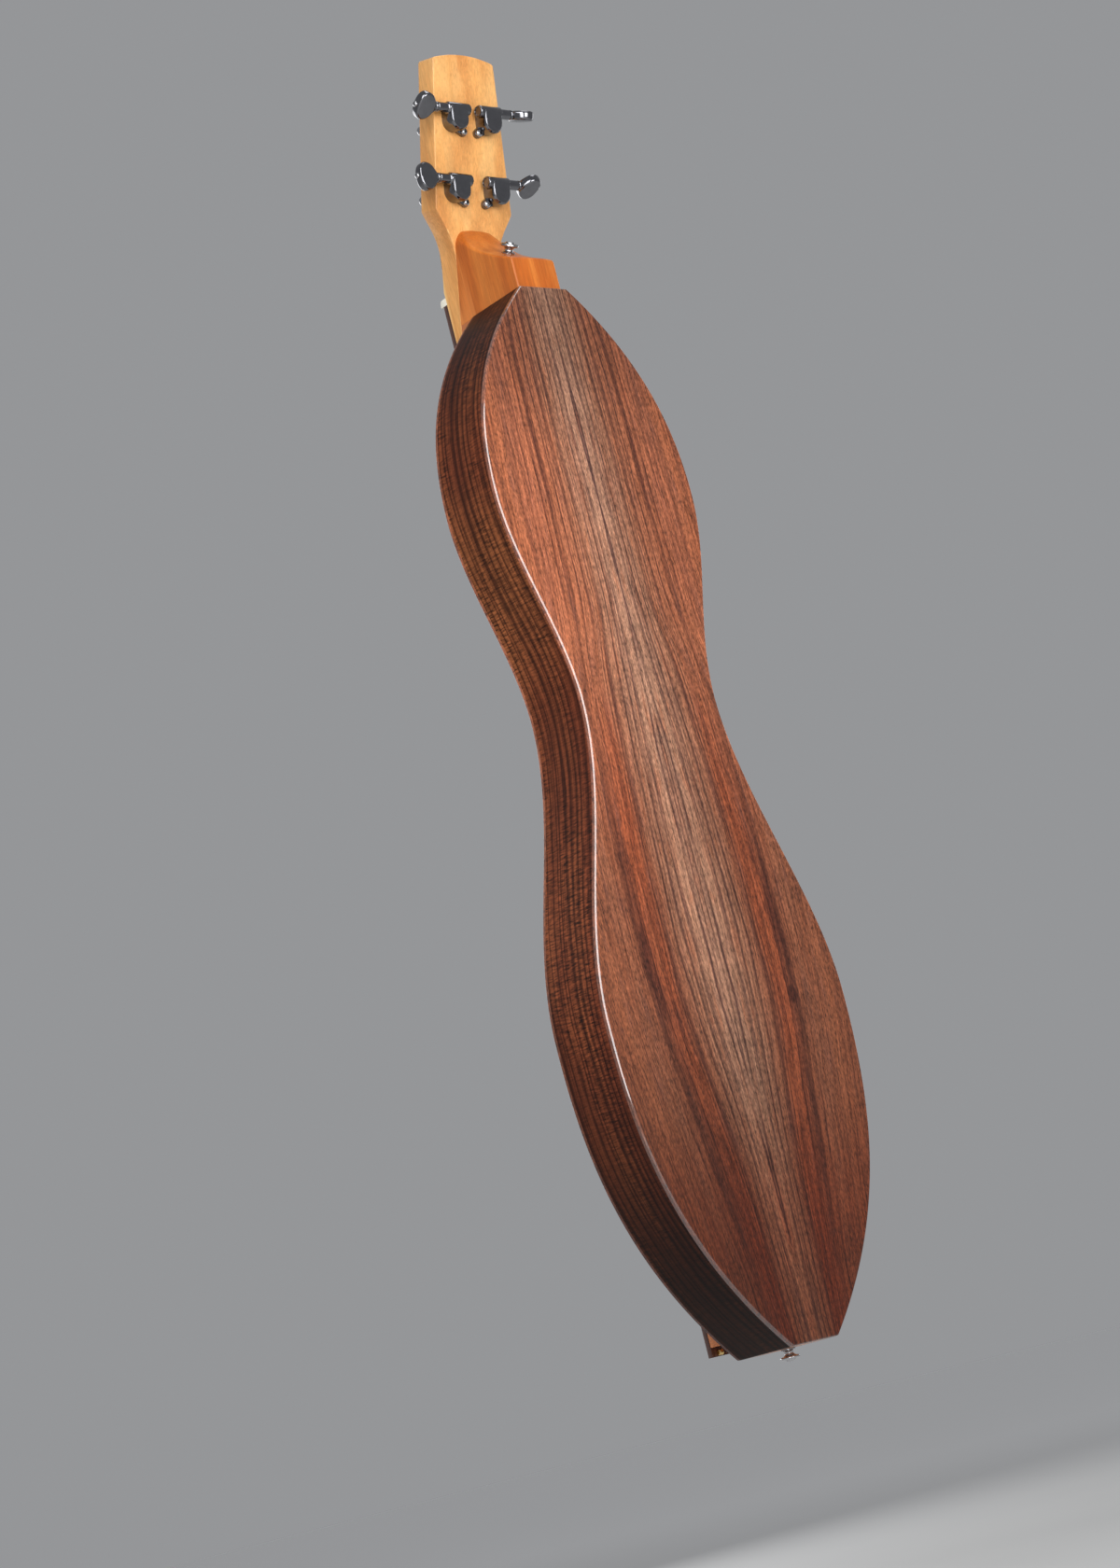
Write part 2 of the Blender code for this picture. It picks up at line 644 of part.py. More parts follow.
BARREL = (
    (0.0029, BARREL_IN), (0.0037, BARREL_IN + 0.0005), (BARREL_R - 0.0001, BARREL_IN + 0.0017), (BARREL_R, BARREL_IN + 0.0024),
    (BARREL_R, BARREL_OUT - 0.0008), (NOSE_R, BARREL_OUT), (NOSE_R, NOSE_OUT),
)


def housing(name):
    arc = [
        (CASE_W * math.cos(a), CASE_R * math.sin(a))
        for a in (math.pi + math.pi * k / 12 for k in range(13))
    ]
    outline = arc + [(CASE_W, CASE_UP), (-CASE_W, CASE_UP)]
    rings = []
    for inset, c in ((0.0, GAP), (0.0, CASE_TOP - 0.0019), (0.0006, CASE_TOP - 0.0006), (0.0018, CASE_TOP)):
        shrink = 1 - inset / CASE_R
        rings.append([(x * shrink, y * shrink, c) for x, y in outline])
    case = loft(name, rings)
    worm_axis = Matrix.Translation((0.0, CENTRES, WORM_C))
    barrel = moved(turned("join", BARREL, 18, axis=0), worm_axis)
    lug_ring = []
    for k in range(13):
        a = math.radians(128 + 180 * k / 12)
        lug_ring.append((LUG_AT[0] + 0.0030 * math.cos(a), LUG_AT[1] + 0.0030 * math.sin(a)))
    lug_ring += [(0.0005, -0.0055), (-0.0045, 0.0005)]
    lug = loft("join", [[(x, y, c) for x, y in lug_ring] for c in (GAP, 0.0026)])
    boolean(case, "UNION", barrel, lug)
    cavity = turned("cut", ((0.0060, -0.002), (0.0060, 0.0088)), 20)
    bore = moved(turned("cut", ((BORE_R, BARREL_IN + 0.0026), (BORE_R, 0.0062), (NOSE_BORE_R, 0.0068), (NOSE_BORE_R, NOSE_OUT + 0.002)), 16, axis=0), worm_axis)
    screw = moved(turned("cut", ((0.0013, -0.002), (0.0013, 0.006)), 10), Matrix.Translation((*LUG_AT, 0.0)))
    return boolean(case, "DIFFERENCE", cavity, bore, screw)


for word, (px, ps) in TUNERS.items():
    sign = 1 if px > 0 else -1
    flip = Matrix.Scale(sign, 4, (1, 0, 0))
    name = "tuner_" + word
    spot = Vector((px, ps, 0.0))

    case = moved(housing(name + "_housing"), flip)
    case.location = spot
    finish(case, CHROME, headstock_frame)

    shaft = turned(
        name + "_button_shaft",
        (
            (0.0032, -0.0077), (0.0032, -0.0058), (WORM_R - DEDENDUM, -0.0054), (WORM_R - DEDENDUM, 0.0048),
            (0.0032, 0.0052), (0.0032, 0.0059), (0.0024, 0.0061), (0.0024, NOSE_OUT + 0.0004),
            (0.0034, NOSE_OUT + 0.0006), (0.0034, 0.0188), (0.0026, 0.0193), (0.0026, 0.0214),
        ),
        14,
        axis=0,
    )
    boolean(shaft, "UNION", worm_thread("join"), button("join", BUTTON_REST_DEG[word]))
    moved(shaft, flip)
    shaft.location = spot + Vector((0.0, CENTRES, WORM_C))
    finish(shaft, CHROME, headstock_frame)

    post = moved(gear_and_post(name + "_post"), flip)
    post.location = spot
    finish(post, CHROME, headstock_frame)

    f = -HEAD_T
    bushing = turned(
        name + "_bushing",
        (
            (BUSH_BORE_R, -0.0040), (BUSH_R, -0.0040), (BUSH_R, f - GAP), (0.0058, f - GAP), (0.0058, f - 0.0012),
            (0.0049, f - 0.0014), (0.0049, f - 0.0034), (0.0043, f - 0.0040), (BUSH_BORE_R, f - 0.0040),
        ),
        16,
        hollow=True,
    )
    bushing.location = spot
    finish(bushing, CHROME, headstock_frame)

    screw = turned(
        name + "_screw",
        ((0.0004, -0.0088), (0.0010, -0.0070), (0.0010, 0.0027), (0.0010, 0.0029), (0.0025, 0.0029), (0.0025, 0.0034), (0.0019, 0.0043), (0.0010, 0.0046)),
        12,
    )
    cross = [
        box("cut", (-0.0014, -0.00028, 0.0038), (0.0014, 0.00028, 0.006)),
        box("cut", (-0.00028, -0.0014, 0.0038), (0.00028, 0.0014, 0.006)),
    ]
    boolean(screw, "DIFFERENCE", *cross)
    screw.location = spot + Vector((sign * LUG_AT[0], LUG_AT[1], 0.0))
    finish(screw, CHROME, headstock_frame)


# ---------------------------------------------------------------- strings
def tube(name, route, radius, sides=8):
    """A wire along a route, with each ring square to the run there."""
    rings = []
    for k, p in enumerate(route):
        back = route[max(k - 1, 0)]
        ahead = route[min(k + 1, len(route) - 1)]
        along = (ahead - back).normalized()
        across = Vector((1.0, 0.0, 0.0))
        across = (across - along * across.dot(along)).normalized()
        other = along.cross(across)
        rings.append(
            [
                p + radius * (math.cos(a) * across + math.sin(a) * other)
                for a in (2 * math.pi * (j + 0.5) / sides for j in range(sides))
            ]
        )
    return loft(name, rings)


BALL_R, BALL_HALF = 0.0019, 0.0016
for name, (nut_x, tail_x, wire, tuner) in STRINGS.items():
    px, ps = TUNERS[tuner]
    sign = 1 if px > 0 else -1
    ball_y = board_low - BALL_R - GAP
    wire_z = BOARD_TAIL + 0.0022
    start = Vector((tail_x, ball_y, wire_z))
    seat = Vector((tail_x, SADDLE_TOP + wire + 0.0001, SADDLE_Z))
    rest = Vector((nut_x, NUT_TOP - 0.0008 + wire + 0.0001, NUT_Z + 0.0006))
    leave = Vector((nut_x, NUT_TOP - 0.0008 + wire + 0.0001 - 0.0002, NUT_Z + NUT_T - 0.0004))
    end = HEAD_M @ Vector((px - sign * (0.0024 + wire + 0.0003), ps, -HEAD_T - 0.0097))
    over = start + Vector((0.0, BOARD_TOP - ball_y + 0.0004, 0.0))
    route = [start, over - Vector((0, 0.0012, 0)), over + Vector((0, 0.0001, 0.0006)), seat - Vector((0, 0.0001, 0.002)), seat + Vector((0, -0.00002, 0.002)), rest, leave, end]
    wire_obj = tube(name, route, wire)
    ball = moved(turned("join", ((BALL_R, -BALL_HALF), (BALL_R, BALL_HALF)), 12, axis=0), Matrix.Translation(start))
    finish(boolean(wire_obj, "UNION", ball), STEEL)

# ---------------------------------------------------------------- strap buttons
for word, seat in (("head", HEAD_STRAP), ("tail", TAIL_STRAP)):
    knob = turned(
        "strap_button_" + word,
        (
            (0.0018, GAP), (0.0046, GAP), (0.0046, 0.0010), (0.0034, 0.0016), (0.0029, 0.0029), (0.0034, 0.0042),
            (0.0062, 0.0050), (0.0064, 0.0058), (0.0056, 0.0066), (0.0041, 0.0069), (0.0018, 0.0050),
        ),
        18,
        hollow=True,
    )
    finish(moved(knob, seat), CHROME)
    screw = turned(
        "strap_screw_" + word,
        ((0.0004, -0.0195), (0.0013, -0.0170), (0.0013, 0.0050), (0.0034, 0.0070), (0.0028, 0.0077), (0.0012, 0.0080)),
        12,
    )
    cross = [
        box("cut", (-0.0018, -0.0003, 0.0069), (0.0018, 0.0003, 0.010)),
        box("cut", (-0.0003, -0.0018, 0.0069), (0.0003, 0.0018, 0.010)),
    ]
    finish(moved(boolean(screw, "DIFFERENCE", *cross), seat), CHROME)
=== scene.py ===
import math

import bmesh
import bpy
from mathutils import Matrix, Vector


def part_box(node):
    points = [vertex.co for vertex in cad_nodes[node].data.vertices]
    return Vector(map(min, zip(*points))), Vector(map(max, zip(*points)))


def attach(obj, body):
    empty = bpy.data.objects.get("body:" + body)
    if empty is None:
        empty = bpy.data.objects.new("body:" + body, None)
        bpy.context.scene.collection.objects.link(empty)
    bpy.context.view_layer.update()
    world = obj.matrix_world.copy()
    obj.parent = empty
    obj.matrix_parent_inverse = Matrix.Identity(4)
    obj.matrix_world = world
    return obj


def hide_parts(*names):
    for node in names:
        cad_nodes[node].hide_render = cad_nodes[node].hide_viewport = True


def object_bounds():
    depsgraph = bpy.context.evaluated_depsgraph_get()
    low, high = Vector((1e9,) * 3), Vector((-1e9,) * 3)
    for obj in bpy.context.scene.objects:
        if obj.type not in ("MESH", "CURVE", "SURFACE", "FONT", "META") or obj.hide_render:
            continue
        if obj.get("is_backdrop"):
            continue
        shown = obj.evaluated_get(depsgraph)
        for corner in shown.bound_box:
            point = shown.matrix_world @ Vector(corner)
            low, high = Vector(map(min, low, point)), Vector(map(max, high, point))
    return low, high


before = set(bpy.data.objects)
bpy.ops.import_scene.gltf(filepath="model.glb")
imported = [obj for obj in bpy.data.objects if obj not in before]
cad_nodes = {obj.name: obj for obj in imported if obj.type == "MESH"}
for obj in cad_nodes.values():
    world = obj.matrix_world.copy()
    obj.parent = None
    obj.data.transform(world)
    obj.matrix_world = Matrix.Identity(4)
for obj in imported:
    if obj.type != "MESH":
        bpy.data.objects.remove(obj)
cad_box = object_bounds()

# ------------------------------------------------------------------ sizes, in metres
L = 0.700
DEPTH = 0.0514
BACK_Y, TOP_Y = -DEPTH / 2, DEPTH / 2
OUTLINE = (
    (0.0, 0.0205, 1.03),
    (0.212, 0.1050, 0.0),
    (0.4155, 0.0588, 0.0),
    (0.5565, 0.0872, 0.0),
    (L, 0.0205, -1.10),
)
PLATE, SIDE = 0.0030, 0.0022
HAIR = 0.00002
NECK_HALF = 0.01905
STICK_TOP, BOARD_T = 0.0473, 0.0037
GAP = 0.0003
BOARD_LOW = STICK_TOP + GAP
BOARD_TOP = BOARD_LOW + BOARD_T
NUT_Z, NUT_T, NUT_TOP = 0.7185, 0.0050, 0.0536
STRING_LENGTH = 0.6604
SADDLE_Z, SADDLE_T, SADDLE_TOP = NUT_Z - STRING_LENGTH, 0.0030, 0.0548
STICK_TAIL, BOARD_TAIL = 0.012, 0.006
STRUM_LOW, STRUM_HIGH, STRUM_DEEP = 0.078, 0.166, 0.0026
TILT = math.radians(14.5)
REF_Z, REF_Y = 0.777, 0.0190
HEAD_T = 0.0150
HEAD_TOP, HEAD_CORNER = 0.1028, 0.0990
HEAD_TOP_HALF, HEAD_WIDE, HEAD_WIDE_S = 0.0266, 0.0334, -0.0030
SCARF_TIP_Z, LEDGE_Z = 0.672, 0.7272
INNER_LOW, INNER_HIGH = BACK_Y + PLATE + GAP, TOP_Y - PLATE - GAP
HEEL_LINE = (
    (0.0, 0.7225), (0.0055, 0.7253), (0.0110, 0.7283), (0.0160, 0.7313), (0.0209, 0.7346), (0.0255, 0.7378),
    (0.0295, 0.7413), (0.0330, 0.7450), (0.0365, 0.7496), (0.0404, 0.7552), (0.0455, 0.7626), (0.0510, 0.7704),
    (0.0640, 0.7890),
)
TUNERS = {
    "upper_left": (-0.0148, 0.0569),
    "upper_right": (0.0148, 0.0569),
    "lower_left": (-0.0175, 0.0094),
    "lower_right": (0.0175, 0.0094),
}
BUTTON_DEG = {"upper_left": 36.0, "upper_right": 98.0, "lower_left": -8.0, "lower_right": 57.0}
TEETH, GEAR_R, WORM_R = 14, 0.00460, 0.00270
PITCH = 2 * math.pi * GEAR_R / TEETH
ADD, DED = 0.00046, 0.00067
CENTRES, WORM_C = GEAR_R + WORM_R, 0.0060
CASE_W, CASE_R, CASE_TOP, CASE_UP = 0.0079, 0.0073, 0.01045, 0.0094
BARREL_R, BORE_R, NOSE_R, NOSE_BORE = 0.0043, 0.0034, 0.0033, 0.0027
BARREL_IN, BARREL_OUT, NOSE_OUT = -0.0106, 0.0086, 0.0170
LUG = (-0.0082, -0.0066)
POST_R, BUSH_BORE, BUSH_R = 0.0030, 0.0032, 0.0040
STRINGS = {
    "string_melody_outer": (0.0130, 0.0135, 0.00015, "lower_right"),
    "string_melody_inner": (0.0098, 0.0100, 0.00015, "upper_right"),
    "string_middle": (-0.0010, -0.0010, 0.00020, "upper_left"),
    "string_bass": (-0.0130, -0.0135, 0.00030, "lower_left"),
}

scene = bpy.context.scene


# ------------------------------------------------------------------ mesh tools
def solid(name, points, faces):
    mesh = bpy.data.meshes.new(name)
    mesh.from_pydata([tuple(p) for p in points], [], faces)
    bm = bmesh.new()
    bm.from_mesh(mesh)
    bmesh.ops.remove_doubles(bm, verts=bm.verts, dist=2e-7)
    bmesh.ops.recalc_face_normals(bm, faces=bm.faces)
    bm.to_mesh(mesh)
    bm.free()
    obj = bpy.data.objects.new(name, mesh)
    scene.collection.objects.link(obj)
    return obj


def loft(name, rings, closed_run=False):
    n, m = len(rings[0]), len(rings)
    points = [p for ring in rings for p in ring]
    faces = []
    for i in range(m if closed_run else m - 1):
        j = (i + 1) % m
        for k in range(n):
            q = (k + 1) % n
            faces.append((i * n + k, i * n + q, j * n + q, j * n + k))
    if not closed_run:
        faces.append(tuple(range(n))[::-1])
        faces.append(tuple((m - 1) * n + k for k in range(n)))
    return solid(name, points, faces)


def turned(name, profile, segments=40, hollow=False, axis=2, phase=0.0):
    rings = []
    for radius, height in profile:
        ring = []
        for k in range(segments):
            a = phase + 2 * math.pi * k / segments
            c, s = radius * math.cos(a), radius * math.sin(a)
            ring.append((c, s, height) if axis == 2 else (height, c, s))
        rings.append(ring)
    return loft(name, rings, closed_run=hollow)


def box(name, low, high):
    (x0, y0, z0), (x1, y1, z1) = low, high
    return loft(name, [[(x0, y0, z), (x1, y0, z), (x1, y1, z), (x0, y1, z)] for z in (z0, z1)])


def bake_mesh(obj):
    bpy.context.view_layer.update()
    graph = bpy.context.evaluated_depsgraph_get()
    made = bpy.data.meshes.new_from_object(obj.evaluated_get(graph))
    obj.modifiers.clear()
    before, obj.data = obj.data, made
    bpy.data.meshes.remove(before)
    return obj


def boolean(target, operation, *tools):
    for tool in tools:
        step = target.modifiers.new(operation.lower(), "BOOLEAN")
        step.operation = operation
        step.solver = "EXACT"
        step.object = tool
    bake_mesh(target)
    for tool in tools:
        bpy.data.objects.remove(tool, do_unlink=True)
    return target


def moved(obj, matrix):
    obj.data.transform(matrix)
    if matrix.determinant() < 0:
        obj.data.flip_normals()
    return obj


def bevel(obj, width, segments=2, angle=40.0):
    bm = bmesh.new()
    bm.from_mesh(obj.data)
    bmesh.ops.remove_doubles(bm, verts=bm.verts, dist=2e-6)
    bmesh.ops.dissolve_limit(bm, angle_limit=math.radians(0.5), verts=bm.verts, edges=bm.edges)
    bm.to_mesh(obj.data)
    bm.free()
    step = obj.modifiers.new("bevel", "BEVEL")
    step.width = width
    step.segments = segments
    step.limit_method = "ANGLE"
    step.angle_limit = math.radians(angle)
    step.use_clamp_overlap = True
    step.harden_normals = False
    return bake_mesh(obj)


def piece(obj, name, body, slot, mat, *nodes, smooth=32.0):
    obj.name = name
    obj.data.name = name
    obj.data.materials.clear()
    obj.data.materials.append(mat)
    for p in obj.data.polygons:
        p.material_index = 0
    obj.data.shade_smooth()
    obj.data.set_sharp_from_angle(angle=math.radians(smooth))
    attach(obj, body)
    if nodes:
        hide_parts(*nodes)
    return obj


def smooth_line(points, per):
    """Points of a Catmull-Rom curve through the given ones."""
    pts = [Vector(p) for p in points]
    pts = [2 * pts[0] - pts[1]] + pts + [2 * pts[-1] - pts[-2]]
    out = []
    for a, b, c, d in zip(pts[:-3], pts[1:-2], pts[2:-1], pts[3:]):
        for k in range(per):
            t = k / per
            out.append(0.5 * (2 * b + (c - a) * t + (2 * a - 5 * b + 4 * c - d) * t * t + (3 * b - a - 3 * c + d) * t**3))
    out.append(pts[-2])
    return out


def inset_ring(ring, r):
    """A closed plane ring moved inwards by r; it runs counterclockwise."""
    n = len(ring)
    out = []
    for k in range(n):
        p, q, s = Vector(ring[k - 1]), Vector(ring[k]), Vector(ring[(k + 1) % n])
        a, b = (q - p).normalized(), (s - q).normalized()
        na, nb = Vector((-a.y, a.x)), Vector((-b.y, b.x))
        m = (na + nb).normalized()
        out.append(tuple(q + m * (r / max(m.dot(na), 0.5))))
    return out


# ------------------------------------------------------------------ node tools
class Tree:
    """A few short words for building a material's nodes."""

    def __init__(self, name):
        self.mat = bpy.data.materials.new(name)
        self.mat.use_nodes = True
        self.t = self.mat.node_tree
        self.shader = self.t.nodes["Principled BSDF"]
        self.obj = self.t.nodes.new("ShaderNodeTexCoord").outputs["Object"]
        self.face = self.t.nodes.new("ShaderNodeNewGeometry").outputs["Normal"]

    def put(self, socket, value):
        if isinstance(value, bpy.types.NodeSocket):
            self.t.links.new(value, socket)
        else:
            socket.default_value = value

    def math(self, op, a, b=0.0, c=None, clamp=False):
        n = self.t.nodes.new("ShaderNodeMath")
        n.operation = op
        n.use_clamp = clamp
        self.put(n.inputs[0], a)
        self.put(n.inputs[1], b)
        if c is not None:
            self.put(n.inputs[2], c)
        return n.outputs[0]

    def xyz(self, v=None):
        n = self.t.nodes.new("ShaderNodeSeparateXYZ")
        self.put(n.inputs[0], v if v is not None else self.obj)
        return n.outputs

    def vec(self, x, y, z):
        n = self.t.nodes.new("ShaderNodeCombineXYZ")
        for s, v in zip(n.inputs, (x, y, z)):
            self.put(s, v)
        return n.outputs[0]

    def scaled(self, factors, v=None):
        n = self.t.nodes.new("ShaderNodeVectorMath")
        n.operation = "MULTIPLY"
        self.put(n.inputs[0], v if v is not None else self.obj)
        n.inputs[1].default_value = factors
        return n.outputs[0]

    def noise(self, vector, scale=1.0, detail=2.0, rough=0.5, distort=0.0, dims="3D", w=None):
        n = self.t.nodes.new("ShaderNodeTexNoise")
        n.noise_dimensions = dims
        if vector is not None:
            self.put(n.inputs["Vector"], vector)
        if w is not None:
            self.put(n.inputs["W"], w)
        n.inputs["Scale"].default_value = scale
        n.inputs["Detail"].default_value = detail
        n.inputs["Roughness"].default_value = rough
        n.inputs["Distortion"].default_value = distort
        return n.outputs["Fac"]

    def ramp(self, fac, stops, mode="LINEAR"):
        n = self.t.nodes.new("ShaderNodeValToRGB")
        n.color_ramp.interpolation = mode
        e = n.color_ramp.elements
        while len(e) < len(stops):
            e.new(0.5)
        for el, (pos, col) in zip(e, stops):
            el.position = pos
            el.color = (*col, 1.0) if isinstance(col, tuple) else (col, col, col, 1.0)
        self.put(n.inputs["Fac"], fac)
        return n.outputs["Color"]

    def span(self, value, a, b, c=0.0, d=1.0, smooth=True):
        n = self.t.nodes.new("ShaderNodeMapRange")
        n.interpolation_type = "SMOOTHSTEP" if smooth else "LINEAR"
        n.clamp = True
        self.put(n.inputs["Value"], value)
        n.inputs["From Min"].default_value = a
        n.inputs["From Max"].default_value = b
        n.inputs["To Min"].default_value = c
        n.inputs["To Max"].default_value = d
        return n.outputs["Result"]

    def curve(self, value, points):
        n = self.t.nodes.new("ShaderNodeFloatCurve")
        c = n.mapping.curves[0]
        c.points[0].location = points[0]
        c.points[1].location = points[-1]
        for p in points[1:-1]:
            c.points.new(*p)
        n.mapping.update()
        self.put(n.inputs["Value"], value)
        return n.outputs["Value"]

    def mix(self, fac, a, b, mode="MIX"):
        n = self.t.nodes.new("ShaderNodeMix")
        n.data_type = "RGBA"
        n.blend_type = mode
        self.put(n.inputs["Factor"], fac)
        for label, v in (("A", a), ("B", b)):
            socket = [i for i in n.inputs if i.name == label and i.type == "RGBA"][0]
            self.put(socket, (*v, 1.0) if isinstance(v, tuple) else v)
        return [o for o in n.outputs if o.type == "RGBA"][0]

    def gain(self, color, amount):
        n = self.t.nodes.new("ShaderNodeVectorMath")
        n.operation = "SCALE"
        self.put(n.inputs[0], color)
        self.put(n.inputs["Scale"], amount)
        return n.outputs[0]

    def bump(self, height, distance, strength=1.0, normal=None):
        n = self.t.nodes.new("ShaderNodeBump")
        n.inputs["Strength"].default_value = strength
        n.inputs["Distance"].default_value = distance
        self.put(n.inputs["Height"], height)
        if normal is not None:
            self.put(n.inputs["Normal"], normal)
        return n.outputs["Normal"]

    def out(self, color=None, rough=None, metal=None, normal=None, coat=None, coat_rough=None, specular=None):
        i = self.shader.inputs
        for name, value in (
            ("Base Color", color), ("Roughness", rough), ("Metallic", metal), ("Normal", normal),
            ("Coat Weight", coat), ("Coat Roughness", coat_rough), ("Specular IOR Level", specular),
        ):
            if value is not None:
                if name == "Base Color" and isinstance(value, tuple):
                    value = (*value, 1.0)
                self.put(i[name], value)
        return self.mat


def srgb(r, g, b):
    def lin(v):
        v /= 255
        return v / 12.92 if v <= 0.04045 else ((v + 0.055) / 1.055) ** 2.4

    return (lin(r), lin(g), lin(b))


# ------------------------------------------------------------------ materials
def walnut_flat(name, strong=1.0, painted_leaf_sheen=(1.05, 0.93), knot=True, shine=0.94):
    """Walnut cut in two leaves and opened like a book, with the seam at x = 0."""
    t = Tree(name)
    x, y, z = t.xyz()
    u = t.math("ABSOLUTE", x)
    # how far the grey heart of the leaf reaches from the seam, along the length
    zn = t.math("DIVIDE", z, L, clamp=True)
    reach = t.curve(zn, (
        (0.0, 0.26), (0.066, 0.36), (0.10, 0.43), (0.16, 0.55), (0.23, 0.69), (0.29, 0.80), (0.36, 0.85), (0.456, 0.84),
        (0.52, 0.80), (0.58, 0.73), (0.63, 0.64), (0.685, 0.53), (0.75, 0.49), (0.86, 0.46), (0.93, 0.42), (1.0, 0.36),
    ))
    reach = t.math("MULTIPLY", reach, 0.050)
    wob = t.noise(t.vec(t.math("MULTIPLY", u, 22.0), 0.3, t.math("MULTIPLY", z, 7.0)), 1.0, 2.0, 0.5)
    wob2 = t.noise(t.vec(t.math("MULTIPLY", u, 90.0), 1.7, t.math("MULTIPLY", z, 26.0)), 1.0, 2.0, 0.5)
    # near the seam the grain runs lengthwise, save at the tail where it closes in a V
    follow = t.math("MAXIMUM", t.span(u, 0.0, 0.034, 0.22, 1.0), t.span(z, 0.15, 0.02, 0.0, 0.32))
    reach = t.math("ADD", t.math("MULTIPLY", t.math("SUBTRACT", reach, 0.036), follow), 0.036)
    g = t.math("SUBTRACT", u, reach)
    g = t.math("ADD", g, t.math("MULTIPLY", t.math("SUBTRACT", wob, 0.5), 0.0085))
    g = t.math("ADD", g, t.math("MULTIPLY", t.math("SUBTRACT", wob2, 0.5), 0.0013))
    gm = t.math("MULTIPLY", g, 1000.0)  # in millimetres

    # ground colour across the leaf, for the lower and the upper bout
    q = t.span(gm, -46.0, 74.0, smooth=False)

    def at(mm):
        return (mm + 46.0) / 120.0

    low = t.ramp(q, (
        (at(-46), srgb(168, 124, 99)), (at(-30), srgb(172, 125, 98)), (at(-12), srgb(156, 103, 76)), (at(-4), srgb(146, 86, 60)),
        (at(1), srgb(150, 78, 48)), (at(12), srgb(142, 74, 47)),
        (at(20), srgb(146, 84, 57)), (at(32), srgb(154, 94, 66)), (at(50), srgb(150, 88, 59)), (at(74), srgb(142, 80, 53)),
    ))
    high = t.ramp(q, (
        (at(-46), srgb(172, 129, 104)), (at(-26), srgb(170, 124, 98)), (at(-14), srgb(167, 118, 91)), (at(-3), srgb(163, 107, 78)),
        (at(7), srgb(162, 99, 69)), (at(22), srgb(162, 95, 64)), (at(36), srgb(170, 100, 69)), (at(52), srgb(160, 92, 60)), (at(74), srgb(150, 84, 54)),
    ))
    ground = t.mix(t.span(z, 0.33, 0.47), low, high)
    # broad clouds of redder, paler and browner wood
    cloud = t.noise(t.vec(t.math("MULTIPLY", gm, 0.085), 0.0, t.math("MULTIPLY", z, 7.5)), 1.0, 3.0, 0.6)
    ground = t.mix(t.span(cloud, 0.48, 0.74, 0.0, 0.50), ground, srgb(152, 84, 55))
    ground = t.mix(t.span(cloud, 0.47, 0.27, 0.0, 0.42), ground, srgb(112, 70, 54))
    patchy = t.noise(t.vec(t.math("MULTIPLY", gm, 0.26), 2.0, t.math("MULTIPLY", z, 26.0)), 1.0, 3.0, 0.62)
    ground = t.mix(t.span(patchy, 0.50, 0.72, 0.0, 0.55), ground, srgb(167, 94, 60))
    ground = t.mix(t.span(patchy, 0.48, 0.28, 0.0, 0.46), ground, srgb(118, 76, 66))

    # an orange band along the border, broken here and there, in the lower bout
    jag = t.noise(t.vec(t.math("MULTIPLY", x, 30.0), 7.0, t.math("MULTIPLY", z, 34.0)), 1.0, 3.0, 0.6)
    ge = t.math("ADD", gm, t.math("MULTIPLY", t.math("SUBTRACT", jag, 0.5), 9.0))
    band = t.math("MULTIPLY", t.span(ge, 0.6, 2.6), t.span(ge, 12.0, 10.6))
    broken = t.noise(t.vec(t.math("MULTIPLY", x, 70.0), 5.0, t.math("MULTIPLY", z, 16.0)), 1.0, 3.0, 0.6)
    band = t.math("MULTIPLY", band, t.span(broken, 0.42, 0.60, 0.05, 1.0))
    band = t.math("MULTIPLY", band, t.curve(zn, (
        (0.0, 0.05), (0.10, 0.32), (0.18, 0.70), (0.27, 0.70), (0.33, 0.80), (0.42, 1.0), (0.50, 0.80), (0.58, 0.35), (0.66, 0.12), (1.0, 0.15),
    )))
    ground = t.mix(t.math("MULTIPLY", band, 0.60), ground, srgb(172, 88, 52))
    # the dark streak outside the band
    streak = t.math("MULTIPLY", t.span(ge, 10.4, 11.8), t.span(ge, 23.0, 17.0))
    along = t.curve(zn, (
        (0.0, 0.08), (0.07, 0.24), (0.16, 0.50), (0.235, 0.60), (0.285, 0.34), (0.31, 0.90), (0.38, 1.0), (0.44, 0.80), (0.50, 0.28), (0.60, 0.06), (1.0, 0.05),
    ))
    patch = t.span(t.noise(t.scaled((190.0, 1.0, 14.0)), 1.0, 3.0, 0.65), 0.36, 0.58)
    streak = t.math("MULTIPLY", t.math("MULTIPLY", streak, along), t.math("ADD", t.math("MULTIPLY", patch, 0.75), 0.25))
    if knot:
        # a small dark knot where the right streak breaks off
        dx, dz = t.math("DIVIDE", t.math("SUBTRACT", x, 0.0580), 0.0052), t.math("DIVIDE", t.math("SUBTRACT", z, 0.2150), 0.0080)
        blot = t.span(t.math("ADD", t.math("MULTIPLY", dx, dx), t.math("MULTIPLY", dz, dz)), 1.2, 0.2)
        streak = t.math("MAXIMUM", streak, blot)
    ground = t.mix(t.math("MULTIPLY", streak, 0.80), ground, srgb(74, 34, 26))

